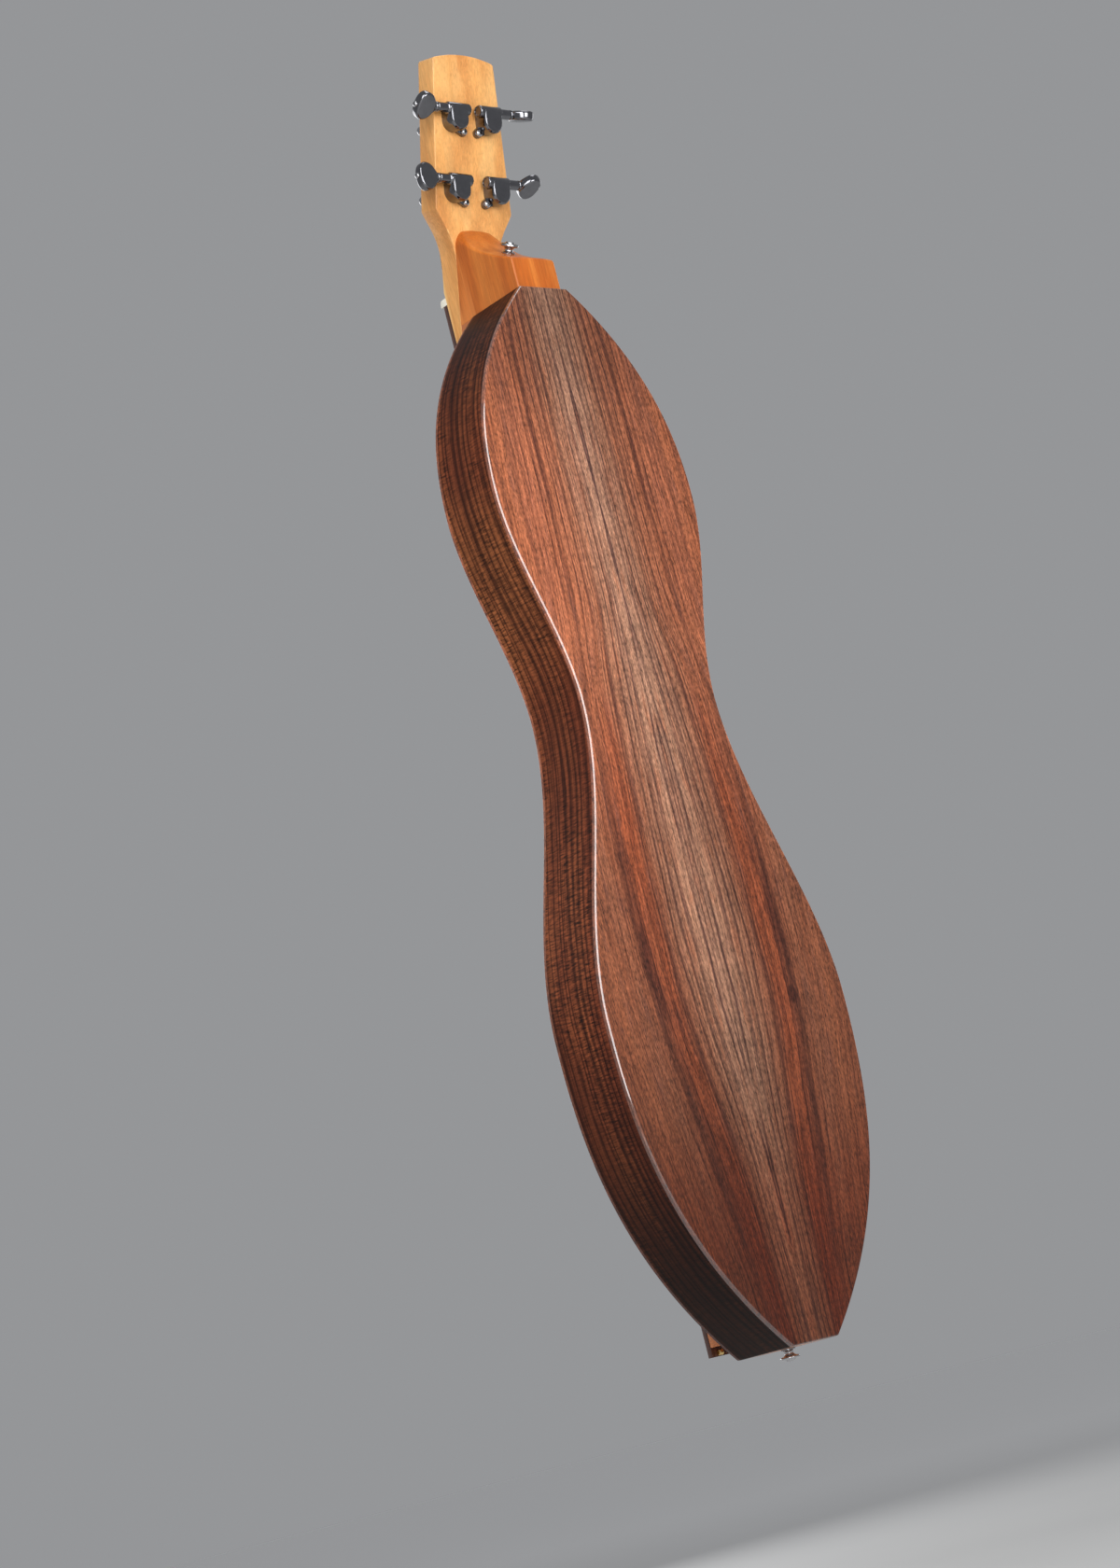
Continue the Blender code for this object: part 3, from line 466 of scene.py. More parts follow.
    # growth lines: uneven and dark, with finer ones between them
    bend = t.noise(None, 1.0, 2.0, 0.5, dims="1D", w=t.math("MULTIPLY", gm, 0.11))
    phase = t.math("ADD", t.math("MULTIPLY", gm, 2 * math.pi / 6.2), t.math("MULTIPLY", bend, 15.0))
    wave = t.math("ADD", t.math("MULTIPLY", t.math("SINE", phase), 0.5), 0.5)
    wave = t.math("POWER", wave, 2.0)
    close = t.math("ADD", t.math("MULTIPLY", gm, 2 * math.pi / 2.7), t.math("MULTIPLY", bend, 22.0))
    close = t.math("POWER", t.math("ADD", t.math("MULTIPLY", t.math("SINE", close), 0.5), 0.5), 1.6)
    lines = t.noise(t.vec(t.math("MULTIPLY", gm, 0.36), 4.0, t.math("MULTIPLY", z, 11.0)), 1.0, 4.0, 0.68)
    force = t.span(lines, 0.34, 0.56, 0.15, 1.0)
    where = t.math("MAXIMUM", t.span(gm, 8.0, -4.0, 0.66, 1.0), t.span(z, 0.40, 0.50, 0.0, 1.0))
    where = t.math("MULTIPLY", where, t.span(gm, 50.0, 20.0, 0.62, 1.0))
    dark = t.math("MULTIPLY", t.math("MULTIPLY", wave, force), where)
    fine = t.math("MULTIPLY", t.math("MULTIPLY", close, t.span(lines, 0.62, 0.42, 0.20, 0.75)), where)
    thin = t.noise(t.vec(t.math("MULTIPLY", gm, 0.85), 9.0, t.math("MULTIPLY", z, 13.0)), 1.0, 3.0, 0.66)
    thin = t.span(thin, 0.48, 0.30)
    colour = t.mix(t.math("MULTIPLY", dark, 0.95 * strong), ground, (0.22, 0.175, 0.24), "MULTIPLY")
    colour = t.mix(t.math("MULTIPLY", fine, 0.60 * strong), colour, (0.34, 0.29, 0.34), "MULTIPLY")
    colour = t.mix(t.math("MULTIPLY", thin, 0.75 * strong), colour, (0.34, 0.29, 0.33), "MULTIPLY")

    # fibres, short shimmering flecks and pores
    fibre = t.noise(t.vec(t.math("MULTIPLY", gm, 1.25), t.math("MULTIPLY", y, 900.0), t.math("MULTIPLY", z, 30.0)), 1.0, 3.0, 0.66)
    fleck = t.noise(t.vec(t.math("MULTIPLY", x, 980.0), t.math("MULTIPLY", y, 980.0), t.math("MULTIPLY", z, 330.0)), 1.0, 2.0, 0.6)
    ripple = t.noise(t.scaled((36.0, 1.0, 150.0)), 1.0, 2.0, 0.5, distort=0.5)
    sheen = t.noise(t.vec(t.math("MULTIPLY", x, 11.0), 3.1, t.math("MULTIPLY", z, 5.5)), 1.0, 2.0, 0.5)
    amount = t.math("ADD", t.math("MULTIPLY", t.math("SUBTRACT", fibre, 0.5), 2.60), 1.08)
    amount = t.math("ADD", amount, t.math("MULTIPLY", t.math("SUBTRACT", fleck, 0.5), 2.80))
    amount = t.math("ADD", amount, t.math("MULTIPLY", t.math("SUBTRACT", ripple, 0.5), 0.35))
    amount = t.math("ADD", amount, t.math("MULTIPLY", t.math("SUBTRACT", sheen, 0.5), 0.70))
    # painted sheen: one leaf is painted a little brighter than the other; painted shade: the plate is painted darker
    # towards the tail and towards the head
    amount = t.math("MULTIPLY", amount, t.span(x, -0.0004, 0.0004, *painted_leaf_sheen))
    amount = t.math("MULTIPLY", amount, t.span(z, 0.0, 0.26, 0.44, 1.0))
    amount = t.math("MULTIPLY", amount, t.span(z, 0.26, 0.44, 0.78, 1.0))
    amount = t.math("MULTIPLY", amount, t.span(z, 0.68, 0.56, 0.62, 1.0))
    # painted sheen: near the tail the painted sheen turns over, and the left leaf is painted darker there
    painted_sheen_low_left = t.math("MULTIPLY", t.span(z, 0.24, 0.08), t.span(x, 0.0, -0.045))
    amount = t.math("MULTIPLY", amount, t.math("SUBTRACT", 1.0, t.math("MULTIPLY", painted_sheen_low_left, 0.34)))
    amount = t.math("MAXIMUM", amount, 0.12)
    colour = t.gain(colour, amount)
    # the tail is browner and darker as well
    colour = t.mix(t.span(z, 0.17, 0.05), colour, (1.04, 0.74, 0.62), "MULTIPLY")
    pore = t.noise(t.vec(t.math("MULTIPLY", x, 2300.0), t.math("MULTIPLY", y, 2300.0), t.math("MULTIPLY", z, 120.0)), 1.0, 1.0, 0.5)
    pores = t.span(pore, 0.62, 0.70)
    colour = t.mix(t.math("MULTIPLY", pores, 0.55), colour, srgb(52, 27, 22))

    rough = t.math("ADD", t.math("MULTIPLY", fibre, 0.18), 0.34)
    height = t.math("SUBTRACT", t.math("MULTIPLY", fibre, 0.6), t.math("MULTIPLY", pores, 0.9))
    height = t.math("SUBTRACT", height, t.math("MULTIPLY", dark, 0.25))
    # the rounded rim is rubbed smoother than the flat
    face = t.math("ABSOLUTE", t.xyz(t.face)[1])
    rim = t.span(face, 0.985, 0.90)
    coat = t.math("ADD", t.math("MULTIPLY", rim, shine), 0.06)
    return t.out(colour, rough, normal=t.bump(height, 0.00005, 0.5), coat=coat, coat_rough=0.08, specular=0.25)


def walnut_bent():
    """The walnut of the sides: grain along the bent strip, with ripples across it."""
    t = Tree("walnut_side_grain")
    x, y, z = t.xyz()
    slow = t.noise(t.vec(t.math("MULTIPLY", x, 3.0), t.math("MULTIPLY", y, 16.0), t.math("MULTIPLY", z, 4.2)), 1.0, 2.0, 0.5)
    small = t.noise(t.vec(t.math("MULTIPLY", x, 10.0), t.math("MULTIPLY", y, 60.0), t.math("MULTIPLY", z, 22.0)), 1.0, 2.0, 0.5)
    g = t.math("ADD", t.math("MULTIPLY", y, 1000.0), t.math("MULTIPLY", z, -26.0))
    g = t.math("ADD", g, t.math("MULTIPLY", t.math("SUBTRACT", slow, 0.5), 15.0))
    g = t.math("ADD", g, t.math("MULTIPLY", t.math("SUBTRACT", small, 0.5), 1.5))
    bend = t.noise(None, 1.0, 1.0, 0.5, dims="1D", w=t.math("MULTIPLY", g, 0.11))
    phase = t.math("ADD", t.math("MULTIPLY", g, 2 * math.pi / 5.2), t.math("MULTIPLY", bend, 12.0))
    wave = t.math("POWER", t.math("ADD", t.math("MULTIPLY", t.math("SINE", phase), 0.5), 0.5), 2.4)
    cloud = t.noise(t.vec(t.math("MULTIPLY", x, 4.0), t.math("MULTIPLY", y, 34.0), t.math("MULTIPLY", z, 7.5)), 1.0, 3.0, 0.55)
    ground = t.ramp(t.span(cloud, 0.25, 0.75, smooth=False), (
        (0.0, srgb(86, 40, 24)), (0.42, srgb(108, 54, 31)), (0.72, srgb(124, 67, 39)), (1.0, srgb(140, 82, 48)),
    ))
    # redder towards the back plate; painted light: a paler golden patch under the upper bout, where the light falls
    # brightest on the side
    ground = t.mix(t.span(y, -0.004, -0.0235, 0.0, 0.45), ground, srgb(104, 47, 27))
    patch = t.math("MULTIPLY", t.span(z, 0.43, 0.50), t.span(z, 0.585, 0.52))
    ground = t.mix(t.math("MULTIPLY", patch, 0.34), ground, srgb(146, 92, 52))
    colour = t.mix(t.math("MULTIPLY", wave, 0.95), ground, (0.26, 0.22, 0.23), "MULTIPLY")
    thin = t.noise(t.vec(t.math("MULTIPLY", x, 60.0), t.math("MULTIPLY", g, 0.95), t.math("MULTIPLY", z, 12.0)), 1.0, 2.0, 0.6)
    colour = t.mix(t.math("MULTIPLY", t.span(thin, 0.50, 0.30), 0.8), colour, (0.36, 0.32, 0.32), "MULTIPLY")
    fibre = t.noise(t.vec(t.math("MULTIPLY", x, 40.0), t.math("MULTIPLY", g, 1.5), t.math("MULTIPLY", z, 40.0)), 1.0, 3.0, 0.64)
    # ripples across the grain: the light breaks on them in short bars
    curl = t.noise(t.scaled((260.0, 150.0, 900.0)), 1.0, 2.0, 0.6)
    spots = t.span(t.noise(t.scaled((7.0, 30.0, 7.0)), 1.0, 2.0, 0.5), 0.36, 0.62, 0.45, 1.3)
    amount = t.math("ADD", t.math("MULTIPLY", t.math("SUBTRACT", fibre, 0.5), 2.3), 1.06)
    amount = t.math("ADD", amount, t.math("MULTIPLY", t.math("MULTIPLY", t.math("SUBTRACT", curl, 0.5), spots), 3.6))
    # painted shade: the side is painted much darker towards the tail; it is also darker towards the head
    amount = t.math("MULTIPLY", amount, t.span(z, 0.03, 0.24, 0.12, 1.0))
    amount = t.math("MULTIPLY", amount, t.span(z, 0.69, 0.58, 0.36, 1.0))
    colour = t.gain(colour, t.math("MAXIMUM", amount, 0.10))
    rough = t.math("ADD", t.math("MULTIPLY", fibre, 0.18), 0.38)
    height = t.math("ADD", t.math("MULTIPLY", fibre, 0.5), t.math("MULTIPLY", curl, 0.35))
    return t.out(colour, rough, normal=t.bump(height, 0.00005, 0.5), coat=0.02, coat_rough=0.20, specular=0.12)


def cherry(name, pale, mid, deep, along, freq=1.0, painted_edge_highlight=None, coat=0.16):
    """Cherry: close lengthwise grain, faint growth bands and short dark flecks.
    along is the grain's direction, as the scale of each axis."""
    t = Tree(name)
    wide = t.noise(t.scaled(tuple(a * 0.055 for a in along)), freq, 3.0, 0.55, distort=0.25)
    ground = t.ramp(t.span(wide, 0.25, 0.75, smooth=False), ((0.0, deep), (0.45, mid), (1.0, pale)))
    band = t.noise(t.scaled(tuple(a * 0.30 for a in along)), freq, 2.0, 0.55)
    colour = t.mix(t.span(band, 0.50, 0.68, 0.0, 0.36), ground, pale)
    colour = t.mix(t.span(band, 0.47, 0.30, 0.0, 0.40), colour, deep)
    fibre = t.noise(t.scaled(tuple(a * 2.0 for a in along)), freq, 3.0, 0.6)
    colour = t.mix(t.span(fibre, 0.52, 0.76, 0.0, 0.26), colour, pale)
    colour = t.mix(t.span(fibre, 0.46, 0.26, 0.0, 0.30), colour, deep)
    fleck = t.span(t.noise(t.scaled(tuple(a * 3.4 + 90.0 for a in along)), freq, 1.0, 0.5), 0.62, 0.72)
    colour = t.mix(t.math("MULTIPLY", fleck, 0.20), colour, tuple(v * 0.45 for v in deep))
    mottle = t.noise(t.scaled(tuple(a * 0.20 + 20.0 for a in along)), freq, 2.0, 0.55)
    colour = t.gain(colour, t.math("ADD", t.math("MULTIPLY", t.math("SUBTRACT", mottle, 0.5), 0.45), 1.0))
    thread = t.noise(t.scaled(tuple(a * 2.9 for a in along)), freq, 2.0, 0.6)
    colour = t.gain(colour, t.math("ADD", t.math("MULTIPLY", t.math("SUBTRACT", thread, 0.5), 0.62), 1.0))
    rough = t.math("ADD", t.math("MULTIPLY", fibre, 0.14), 0.30)
    height = t.math("SUBTRACT", t.math("MULTIPLY", fibre, 0.5), t.math("MULTIPLY", fleck, 0.6))
    if painted_edge_highlight is not None:
        # painted highlight: convex edges are painted paler, where the corners catch the light
        n = t.t.nodes.new("ShaderNodeNewGeometry")
        edge = t.span(n.outputs["Pointiness"], 0.53, 0.62, 0.0, painted_edge_highlight)
        colour = t.mix(edge, colour, tuple(min(1.0, v * 1.25 + 0.03) for v in pale))
    return t.out(colour, rough, normal=t.bump(height, 0.00004, 0.45), coat=coat, coat_rough=0.14, specular=0.32)


def rosewood():
    t = Tree("rosewood_board")
    wide = t.noise(t.scaled((130.0, 130.0, 3.0)), 1.0, 4.0, 0.6, distort=0.4)
    colour = t.ramp(wide, ((0.28, srgb(40, 22, 18)), (0.48, srgb(66, 36, 27)), (0.62, srgb(88, 48, 34)), (0.75, srgb(52, 29, 23))))
    fibre = t.noise(t.scaled((1700.0, 1700.0, 40.0)), 1.0, 2.0, 0.6)
    colour = t.mix(t.span(fibre, 0.44, 0.28, 0.0, 0.55), colour, srgb(24, 13, 11))
    pore = t.span(t.noise(t.scaled((2600.0, 2600.0, 160.0)), 1.0, 1.0, 0.5), 0.66, 0.71)
    colour = t.mix(t.math("MULTIPLY", pore, 0.6), colour, srgb(16, 9, 8))
    rough = t.math("ADD", t.math("MULTIPLY", fibre, 0.20), 0.36)
    height = t.math("SUBTRACT", t.math("MULTIPLY", fibre, 0.4), pore)
    return t.out(colour, rough, normal=t.bump(height, 0.00006, 0.6), coat=0.08, coat_rough=0.3)


def spruce():
    t = Tree("spruce_inside")
    x, y, z = t.xyz()
    warp = t.noise(t.scaled((8.0, 8.0, 3.0)), 1.0, 2.0, 0.5)
    ring = t.math("SINE", t.math("ADD", t.math("MULTIPLY", y, 4200.0), t.math("MULTIPLY", warp, 16.0)))
    ring = t.math("POWER", t.math("ADD", t.math("MULTIPLY", ring, 0.5), 0.5), 2.5)
    colour = t.mix(t.math("MULTIPLY", ring, 0.55), srgb(220, 190, 140), srgb(176, 128, 76))
    fibre = t.noise(t.scaled((900.0, 900.0, 30.0)), 1.0, 2.0, 0.6)
    colour = t.mix(t.span(fibre, 0.5, 0.3, 0.0, 0.3), colour, srgb(150, 108, 66))
    rough = t.math("ADD", t.math("MULTIPLY", fibre, 0.15), 0.55)
    return t.out(colour, rough, normal=t.bump(fibre, 0.00008, 0.6))


def bone():
    t = Tree("bone_white")
    grain = t.noise(t.scaled((260.0, 900.0, 900.0)), 1.0, 3.0, 0.6)
    colour = t.ramp(grain, ((0.3, srgb(226, 218, 196)), (0.6, srgb(243, 239, 226)), (0.8, srgb(234, 224, 200))))
    pore = t.span(t.noise(t.scaled((1500.0, 5200.0, 5200.0)), 1.0, 1.0, 0.5), 0.70, 0.76)
    colour = t.mix(t.math("MULTIPLY", pore, 0.35), colour, srgb(176, 156, 120))
    rough = t.math("ADD", t.math("MULTIPLY", grain, 0.16), 0.22)
    return t.out(colour, rough, normal=t.bump(grain, 0.00002, 0.4), coat=0.2, coat_rough=0.1)


def plated(name, tone, rough_low, rough_high, smear=0.35):
    """Bright plating with the faint haze and hairlines that handling leaves."""
    t = Tree(name)
    haze = t.noise(t.scaled((240.0, 240.0, 240.0)), 1.0, 3.0, 0.6)
    colour = t.mix(t.span(haze, 0.35, 0.7, 0.0, smear), tone, tuple(v * 0.72 for v in tone))
    hair = t.noise(t.scaled((900.0, 5200.0, 900.0)), 1.0, 2.0, 0.5, distort=0.8)
    rough = t.math("ADD", t.span(haze, 0.3, 0.75, rough_low, rough_high), t.span(hair, 0.60, 0.72, 0.0, 0.05))
    return t.out(colour, rough, 1.0, normal=t.bump(hair, 0.000004, 0.35))


def wire(name, tone, wound=None):
    t = Tree(name)
    x, y, z = t.xyz()
    haze = t.noise(t.scaled((60.0, 60.0, 400.0)), 1.0, 3.0, 0.6)
    colour = t.mix(t.span(haze, 0.40, 0.66, 0.0, 0.45), tone, tuple(v * 0.6 for v in tone))
    if wound:
        ridge = t.math("SINE", t.math("MULTIPLY", z, 2 * math.pi / wound))
        ridge = t.math("ADD", t.math("MULTIPLY", ridge, 0.5), 0.5)
        # painted shade in the grooves between the windings
        colour = t.mix(t.span(ridge, 0.35, 0.0, 0.0, 0.7), colour, tuple(v * 0.25 for v in tone))
        normal = t.bump(ridge, 0.00010, 0.9)
    else:
        normal = t.bump(t.noise(t.scaled((4000.0, 4000.0, 300.0)), 1.0, 1.0, 0.5), 0.000004, 0.3)
    rough = t.span(haze, 0.3, 0.7, 0.18, 0.34)
    return t.out(colour, rough, 1.0, normal=normal)


M_BACK = walnut_flat("walnut_back_leaves")
M_TOP = walnut_flat("walnut_soundboard_leaves", strong=0.85, painted_leaf_sheen=(0.98, 1.03), knot=False, shine=0.2)
for m in (M_BACK, M_TOP):
    m.node_tree.nodes["Principled BSDF"].inputs["Coat IOR"].default_value = 2.0
M_SIDE = walnut_bent()
M_HEEL = cherry("cherry_heel", srgb(214, 132, 58), srgb(191, 101, 33), srgb(160, 74, 21), (420.0, 420.0, 22.0), painted_edge_highlight=0.55)
M_STICK = cherry("cherry_stick", srgb(216, 140, 84), srgb(192, 112, 62), srgb(158, 82, 42), (420.0, 420.0, 18.0), painted_edge_highlight=0.3)
M_HEAD = cherry("light_cherry_head", srgb(242, 189, 122), srgb(229, 166, 97), srgb(202, 132, 70), (380.0, 380.0, 30.0), painted_edge_highlight=0.6)
M_ROSE = rosewood()
M_SPRUCE = spruce()
M_BONE = bone()
# painted reflection: the chrome's colour is darkened to stand in for the dark room it would reflect
M_CHROME = plated("chrome_painted_dark_reflection", (0.20, 0.20, 0.215), 0.05, 0.12)
M_BRIGHT = plated("bright_chrome", (0.46, 0.46, 0.475), 0.06, 0.14)
M_NICKEL = plated("nickel_fret", (0.70, 0.68, 0.63), 0.14, 0.26)
M_STEEL = wire("plain_steel", (0.62, 0.62, 0.63))
M_WOUND = wire("wound_bronze", (0.62, 0.40, 0.22), wound=0.00034)
M_BRASS = plated("brass_ball", (0.72, 0.50, 0.20), 0.16, 0.3)


# ------------------------------------------------------------------ outline of the body
def width_at(z):
    for (za, wa, ma), (zb, wb, mb) in zip(OUTLINE[:-1], OUTLINE[1:]):
        if z <= zb + 1e-12:
            h = zb - za
            t = (z - za) / h
            w = wa * (2 * t**3 - 3 * t**2 + 1) + h * ma * (t**3 - 2 * t**2 + t) + wb * (3 * t**2 - 2 * t**3) + h * mb * (t**3 - t**2)
            s = wa * (6 * t**2 - 6 * t) / h + ma * (3 * t**2 - 4 * t + 1) + wb * (6 * t - 6 * t**2) / h + mb * (3 * t**2 - 2 * t)
            return w, s


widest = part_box("side_right")[1].x
CORNER_TAIL, CORNER_HEAD = 0.0026, 0.0012


def rim_at(z):
    """Half width with the small roundings at the two ends, and the edge's stretch there."""
    w, s = width_at(min(max(z, 0.0), L))
    for end, corner, start, slope in ((z, CORNER_TAIL, 0.0205, 1.03), (L - z, CORNER_HEAD, 0.0205, 1.10)):
        turn = math.atan2(1.0, slope)
        if end < corner * (1 - math.cos(turn)):
            w = start - corner * math.tan(turn / 2) + math.sqrt(max(corner**2 - (corner - end) ** 2, 0.0))
            s = 1.03
    return min(w, widest), math.sqrt(1 + s * s)


EDGE_R = 0.0011
# across and down the rim, in parts of EDGE_R: a narrow flat, eased into both faces
RIM = ((0.0, 0.0), (0.10, 0.012), (0.22, 0.06), (0.34, 0.15), (0.50, 0.30), (0.70, 0.50), (0.85, 0.66), (0.94, 0.78), (0.988, 0.90), (1.0, 1.0))
near = [0.0, 0.00004, 0.00014, 0.00032, 0.00058, 0.0010]
rows = near + [0.0010 + (L - 0.0020) * k / 236 for k in range(1, 236)] + [L - v for v in reversed(near)]


def leaf(name, y_out, y_in, way):
    """One half of a plate from the seam to the rim: y_out is its outer face, rounded at the rim."""
    into = 1 if y_in > y_out else -1
    rings = []
    for z in rows:
        w, stretch = rim_at(z)
        rx = EDGE_R * min(stretch, 1.5)
        drop = 0.0
        end = min(z, L - z)
        if end < EDGE_R:
            drop = EDGE_R - math.sqrt(max(EDGE_R**2 - (EDGE_R - end) ** 2, 0.0))
        y0 = y_out + into * drop
        ry = max(EDGE_R - drop, 1e-5)
        ring = [(way * HAIR / 2, y0, z)]
        for f in (0.2, 0.4, 0.6, 0.8, 0.92):
            ring.append((way * (w - rx) * f, y0, z))
        for a, d in RIM:
            ring.append((way * (w - rx + rx * a), y0 + into * ry * d, z))
        ring.append((way * w, y_in, z))
        for f in (0.75, 0.5, 0.25):
            ring.append((way * w * f, y_in, z))
        ring.append((way * HAIR / 2, y_in, z))
        rings.append(ring)
    return loft(name, rings)


for word, way in (("left", -1), ("right", 1)):
    plate = leaf("leaf", BACK_Y, BACK_Y + PLATE, way)
    piece(plate, f"back_{word}_leaf", "instrument", "walnut_back", M_BACK, "back_" + word, smooth=40)

    rings = []
    for z in rows:
        w, stretch = rim_at(z)
        inner = w - SIDE * min(stretch, 1.5)
        y0, y1 = BACK_Y + PLATE + HAIR, TOP_Y - PLATE - HAIR
        rings.append([(way * w, y0, z), (way * w, 0.0, z), (way * w, y1, z), (way * inner, y1, z), (way * inner, y0, z)])
    piece(loft("side", rings), f"side_{word}_strip", "instrument", "walnut_side", M_SIDE, "side_" + word, smooth=40)


def heart(x, z, size, y0, y1, grow=0.0):
    ring = []
    for k in range(72):
        t = 2 * math.pi * (k + 0.5) / 72
        u = 16 * math.sin(t) ** 3
        v = 13 * math.cos(t) - 5 * math.cos(2 * t) - 2 * math.cos(3 * t) - math.cos(4 * t)
        ring.append((u * size / 32, v * size / 32))
    return ring


def heart_cutter(x, z, size):
    ring = heart(x, z, size, 0, 0)
    rings = []
    for y, grow in ((TOP_Y - 2 * PLATE, 1.0), (TOP_Y - 0.0006, 1.0), (TOP_Y - 0.0001, 1.045), (TOP_Y + 0.0006, 1.09)):
        rings.append([(x + a * grow, y, z + b * grow) for a, b in ring])
    return loft("cut", rings)


rings = []
for z in rows:
    w, stretch = rim_at(z)
    rx = EDGE_R * min(stretch, 1.5)
    end = min(z, L - z)
    drop = EDGE_R - math.sqrt(max(EDGE_R**2 - (EDGE_R - end) ** 2, 0.0)) if end < EDGE_R else 0.0
    y0, ry = TOP_Y - drop, max(EDGE_R - drop, 1e-5)
    half = [((w - rx) * f, y0) for f in (0.0, 0.25, 0.5, 0.75, 0.92)]
    half += [(w - rx + rx * a, y0 - ry * d) for a, d in RIM]
    half += [(w, TOP_Y - PLATE)] + [(w * f, TOP_Y - PLATE) for f in (0.75, 0.5, 0.25, 0.0)]
    ring = [(x, y, z) for x, y in half] + [(-x, y, z) for x, y in reversed(half[1:-1])]
    rings.append(ring)
top = loft("top", rings)
boolean(top, "DIFFERENCE", *[heart_cutter(sx * x, z, s) for sx in (-1, 1) for x, z, s in ((0.058, 0.235, 0.026), (0.050, 0.548, 0.022))])
piece(top, "soundboard_plate", "instrument", "walnut_back", M_TOP, "soundboard", smooth=35)


# ------------------------------------------------------------------ heel, fretboard stick, headstock
def scarf_y(z, over=0.0):
    return REF_Y + (REF_Z - z) * math.tan(TILT) + over / math.cos(TILT)


def above_scarf(over):
    z0, z1 = 0.60, 0.80
    corners = [(z0, scarf_y(z0, over)), (z1, scarf_y(z1, over)), (z1, 0.12), (z0, 0.12)]
    return loft("cut", [[(x, y, z) for z, y in corners] for x in (-0.06, 0.06)])


heel_line = [(p.x, p.y) for p in smooth_line([(d, z, 0.0) for d, z in HEEL_LINE], 6)]


def heel_end(x, y):
    d = max(y - INNER_LOW, 0.0)
    reach = heel_line[-1][1]
    for (da, za), (db, zb) in zip(heel_line[:-1], heel_line[1:]):
        if d <= db:
            reach = za + (zb - za) * (d - da) / max(db - da, 1e-9)
            break
    share = min(d / 0.048, 1.05) ** 4
    reach -= (0.0008 + 0.0050 * share) * (abs(x) / NECK_HALF) ** 3
    corner = 0.0017 + 0.0085 * share**1.6
    over = abs(x) - (NECK_HALF - corner)
    if over > 0:
        reach -= corner - math.sqrt(max(corner**2 - over**2, 0.0))
    return reach


def inside(z, depth):
    w, stretch = rim_at(z)
    return w - depth * stretch


def heel_block():
    edge = 0.0016
    levels = [(INNER_LOW + edge * (1 - math.cos(a)), edge * (1 - math.sin(a))) for a in (math.pi / 2 * k / 6 for k in range(7))]
    levels += [(INNER_LOW + d, 0.0) for d, _ in heel_line if d > 0.0024]
    across = [math.sin(math.pi / 2 * k / 26) for k in range(26, -27, -1)]
    rings = []
    for y, inset in levels:
        half = NECK_HALF - inset
        ring = [(-half, y, L - 0.0001), (half, y, L - 0.0001)]
        ring += [(half * c, y, heel_end(NECK_HALF * c, y) - inset) for c in across]
        rings.append(ring)
    outer = boolean(loft("heel", rings), "DIFFERENCE", above_scarf(-HAIR))
    zs = [L - 0.046 + 0.0459 * k / 12 for k in range(13)]
    right = [(inside(z, SIDE + GAP), z) for z in zs]
    ring = right + [(-x, z) for x, z in reversed(right)]
    block = loft("block", [[(x, y, z) for x, z in ring] for y in (INNER_LOW, INNER_HIGH)])
    return boolean(outer, "UNION", block)


STRAP_Y = -0.0015


def cad_heel(y):
    d = y - INNER_LOW
    for (da, za), (db, zb) in zip(HEEL_LINE[:-1], HEEL_LINE[1:]):
        if d <= db:
            return za + (zb - za) * (d - da) / (db - da)


slant = (cad_heel(STRAP_Y + 0.002) - cad_heel(STRAP_Y - 0.002)) / 0.004
strap_axis = Vector((0.0, -slant, 1.0)).normalized()
HEAD_STRAP = Matrix.Translation((0.0, STRAP_Y, cad_heel(STRAP_Y))) @ strap_axis.to_track_quat("Z", "X").to_matrix().to_4x4()
TAIL_STRAP = Matrix.Rotation(math.pi, 4, "X")
hole = moved(turned("cut", ((0.0016, -0.022), (0.0016, 0.006)), 20), HEAD_STRAP)
heel = boolean(heel_block(), "DIFFERENCE", hole)
piece(heel, "heel_and_block", "instrument", "cherry", M_HEEL, "head_block", smooth=34)

stick = box("stick", (-NECK_HALF, TOP_Y + HAIR, STICK_TAIL), (NECK_HALF, STICK_TOP, L))
boolean(stick, "DIFFERENCE", above_scarf(-HAIR))
bevel(stick, 0.0005, 2, 50)
piece(stick, "fretboard_core", "instrument", "cherry", M_STICK, "fretboard_stick")

HEAD_M = Matrix.Translation((0.0, REF_Y, REF_Z)) @ Matrix.Rotation(math.pi / 2 + TILT, 4, "X")


def bezier(p0, p1, p2, p3, steps):
    out = []
    for k in range(steps + 1):
        t = k / steps
        out.append(tuple(a * (1 - t) ** 3 + 3 * b * t * (1 - t) ** 2 + 3 * c * t * t * (1 - t) + d * t**3 for a, b, c, d in zip(p0, p1, p2, p3)))
    return out


def head_outline():
    right = [(NECK_HALF, -0.130), (NECK_HALF, -0.080), (NECK_HALF, -0.055)]
    right += bezier((NECK_HALF, -0.040), (0.0194, -0.0200), (0.0272, -0.0135), (HEAD_WIDE - 0.0007, HEAD_WIDE_S - 0.0007), 30)
    right += [(HEAD_WIDE - 0.0002, HEAD_WIDE_S + 0.0002), (HEAD_WIDE, HEAD_WIDE_S + 0.0014)]
    right += [(HEAD_TOP_HALF + 0.0001, HEAD_CORNER - 0.0016), (HEAD_TOP_HALF - 0.0002, HEAD_CORNER - 0.0006), (HEAD_TOP_HALF - 0.0011, HEAD_CORNER + 0.0002)]
    rise = HEAD_TOP - HEAD_CORNER
    radius = (HEAD_TOP_HALF**2 + rise**2) / (2 * rise)
    for k in range(1, 14):
        x = (HEAD_TOP_HALF - 0.0011) * (1 - k / 14)
        right.append((x, HEAD_TOP - (radius - math.sqrt(radius**2 - x * x))))
    left = [(-x, s) for x, s in reversed(right)]
    return right + [(0.0, HEAD_TOP)] + left


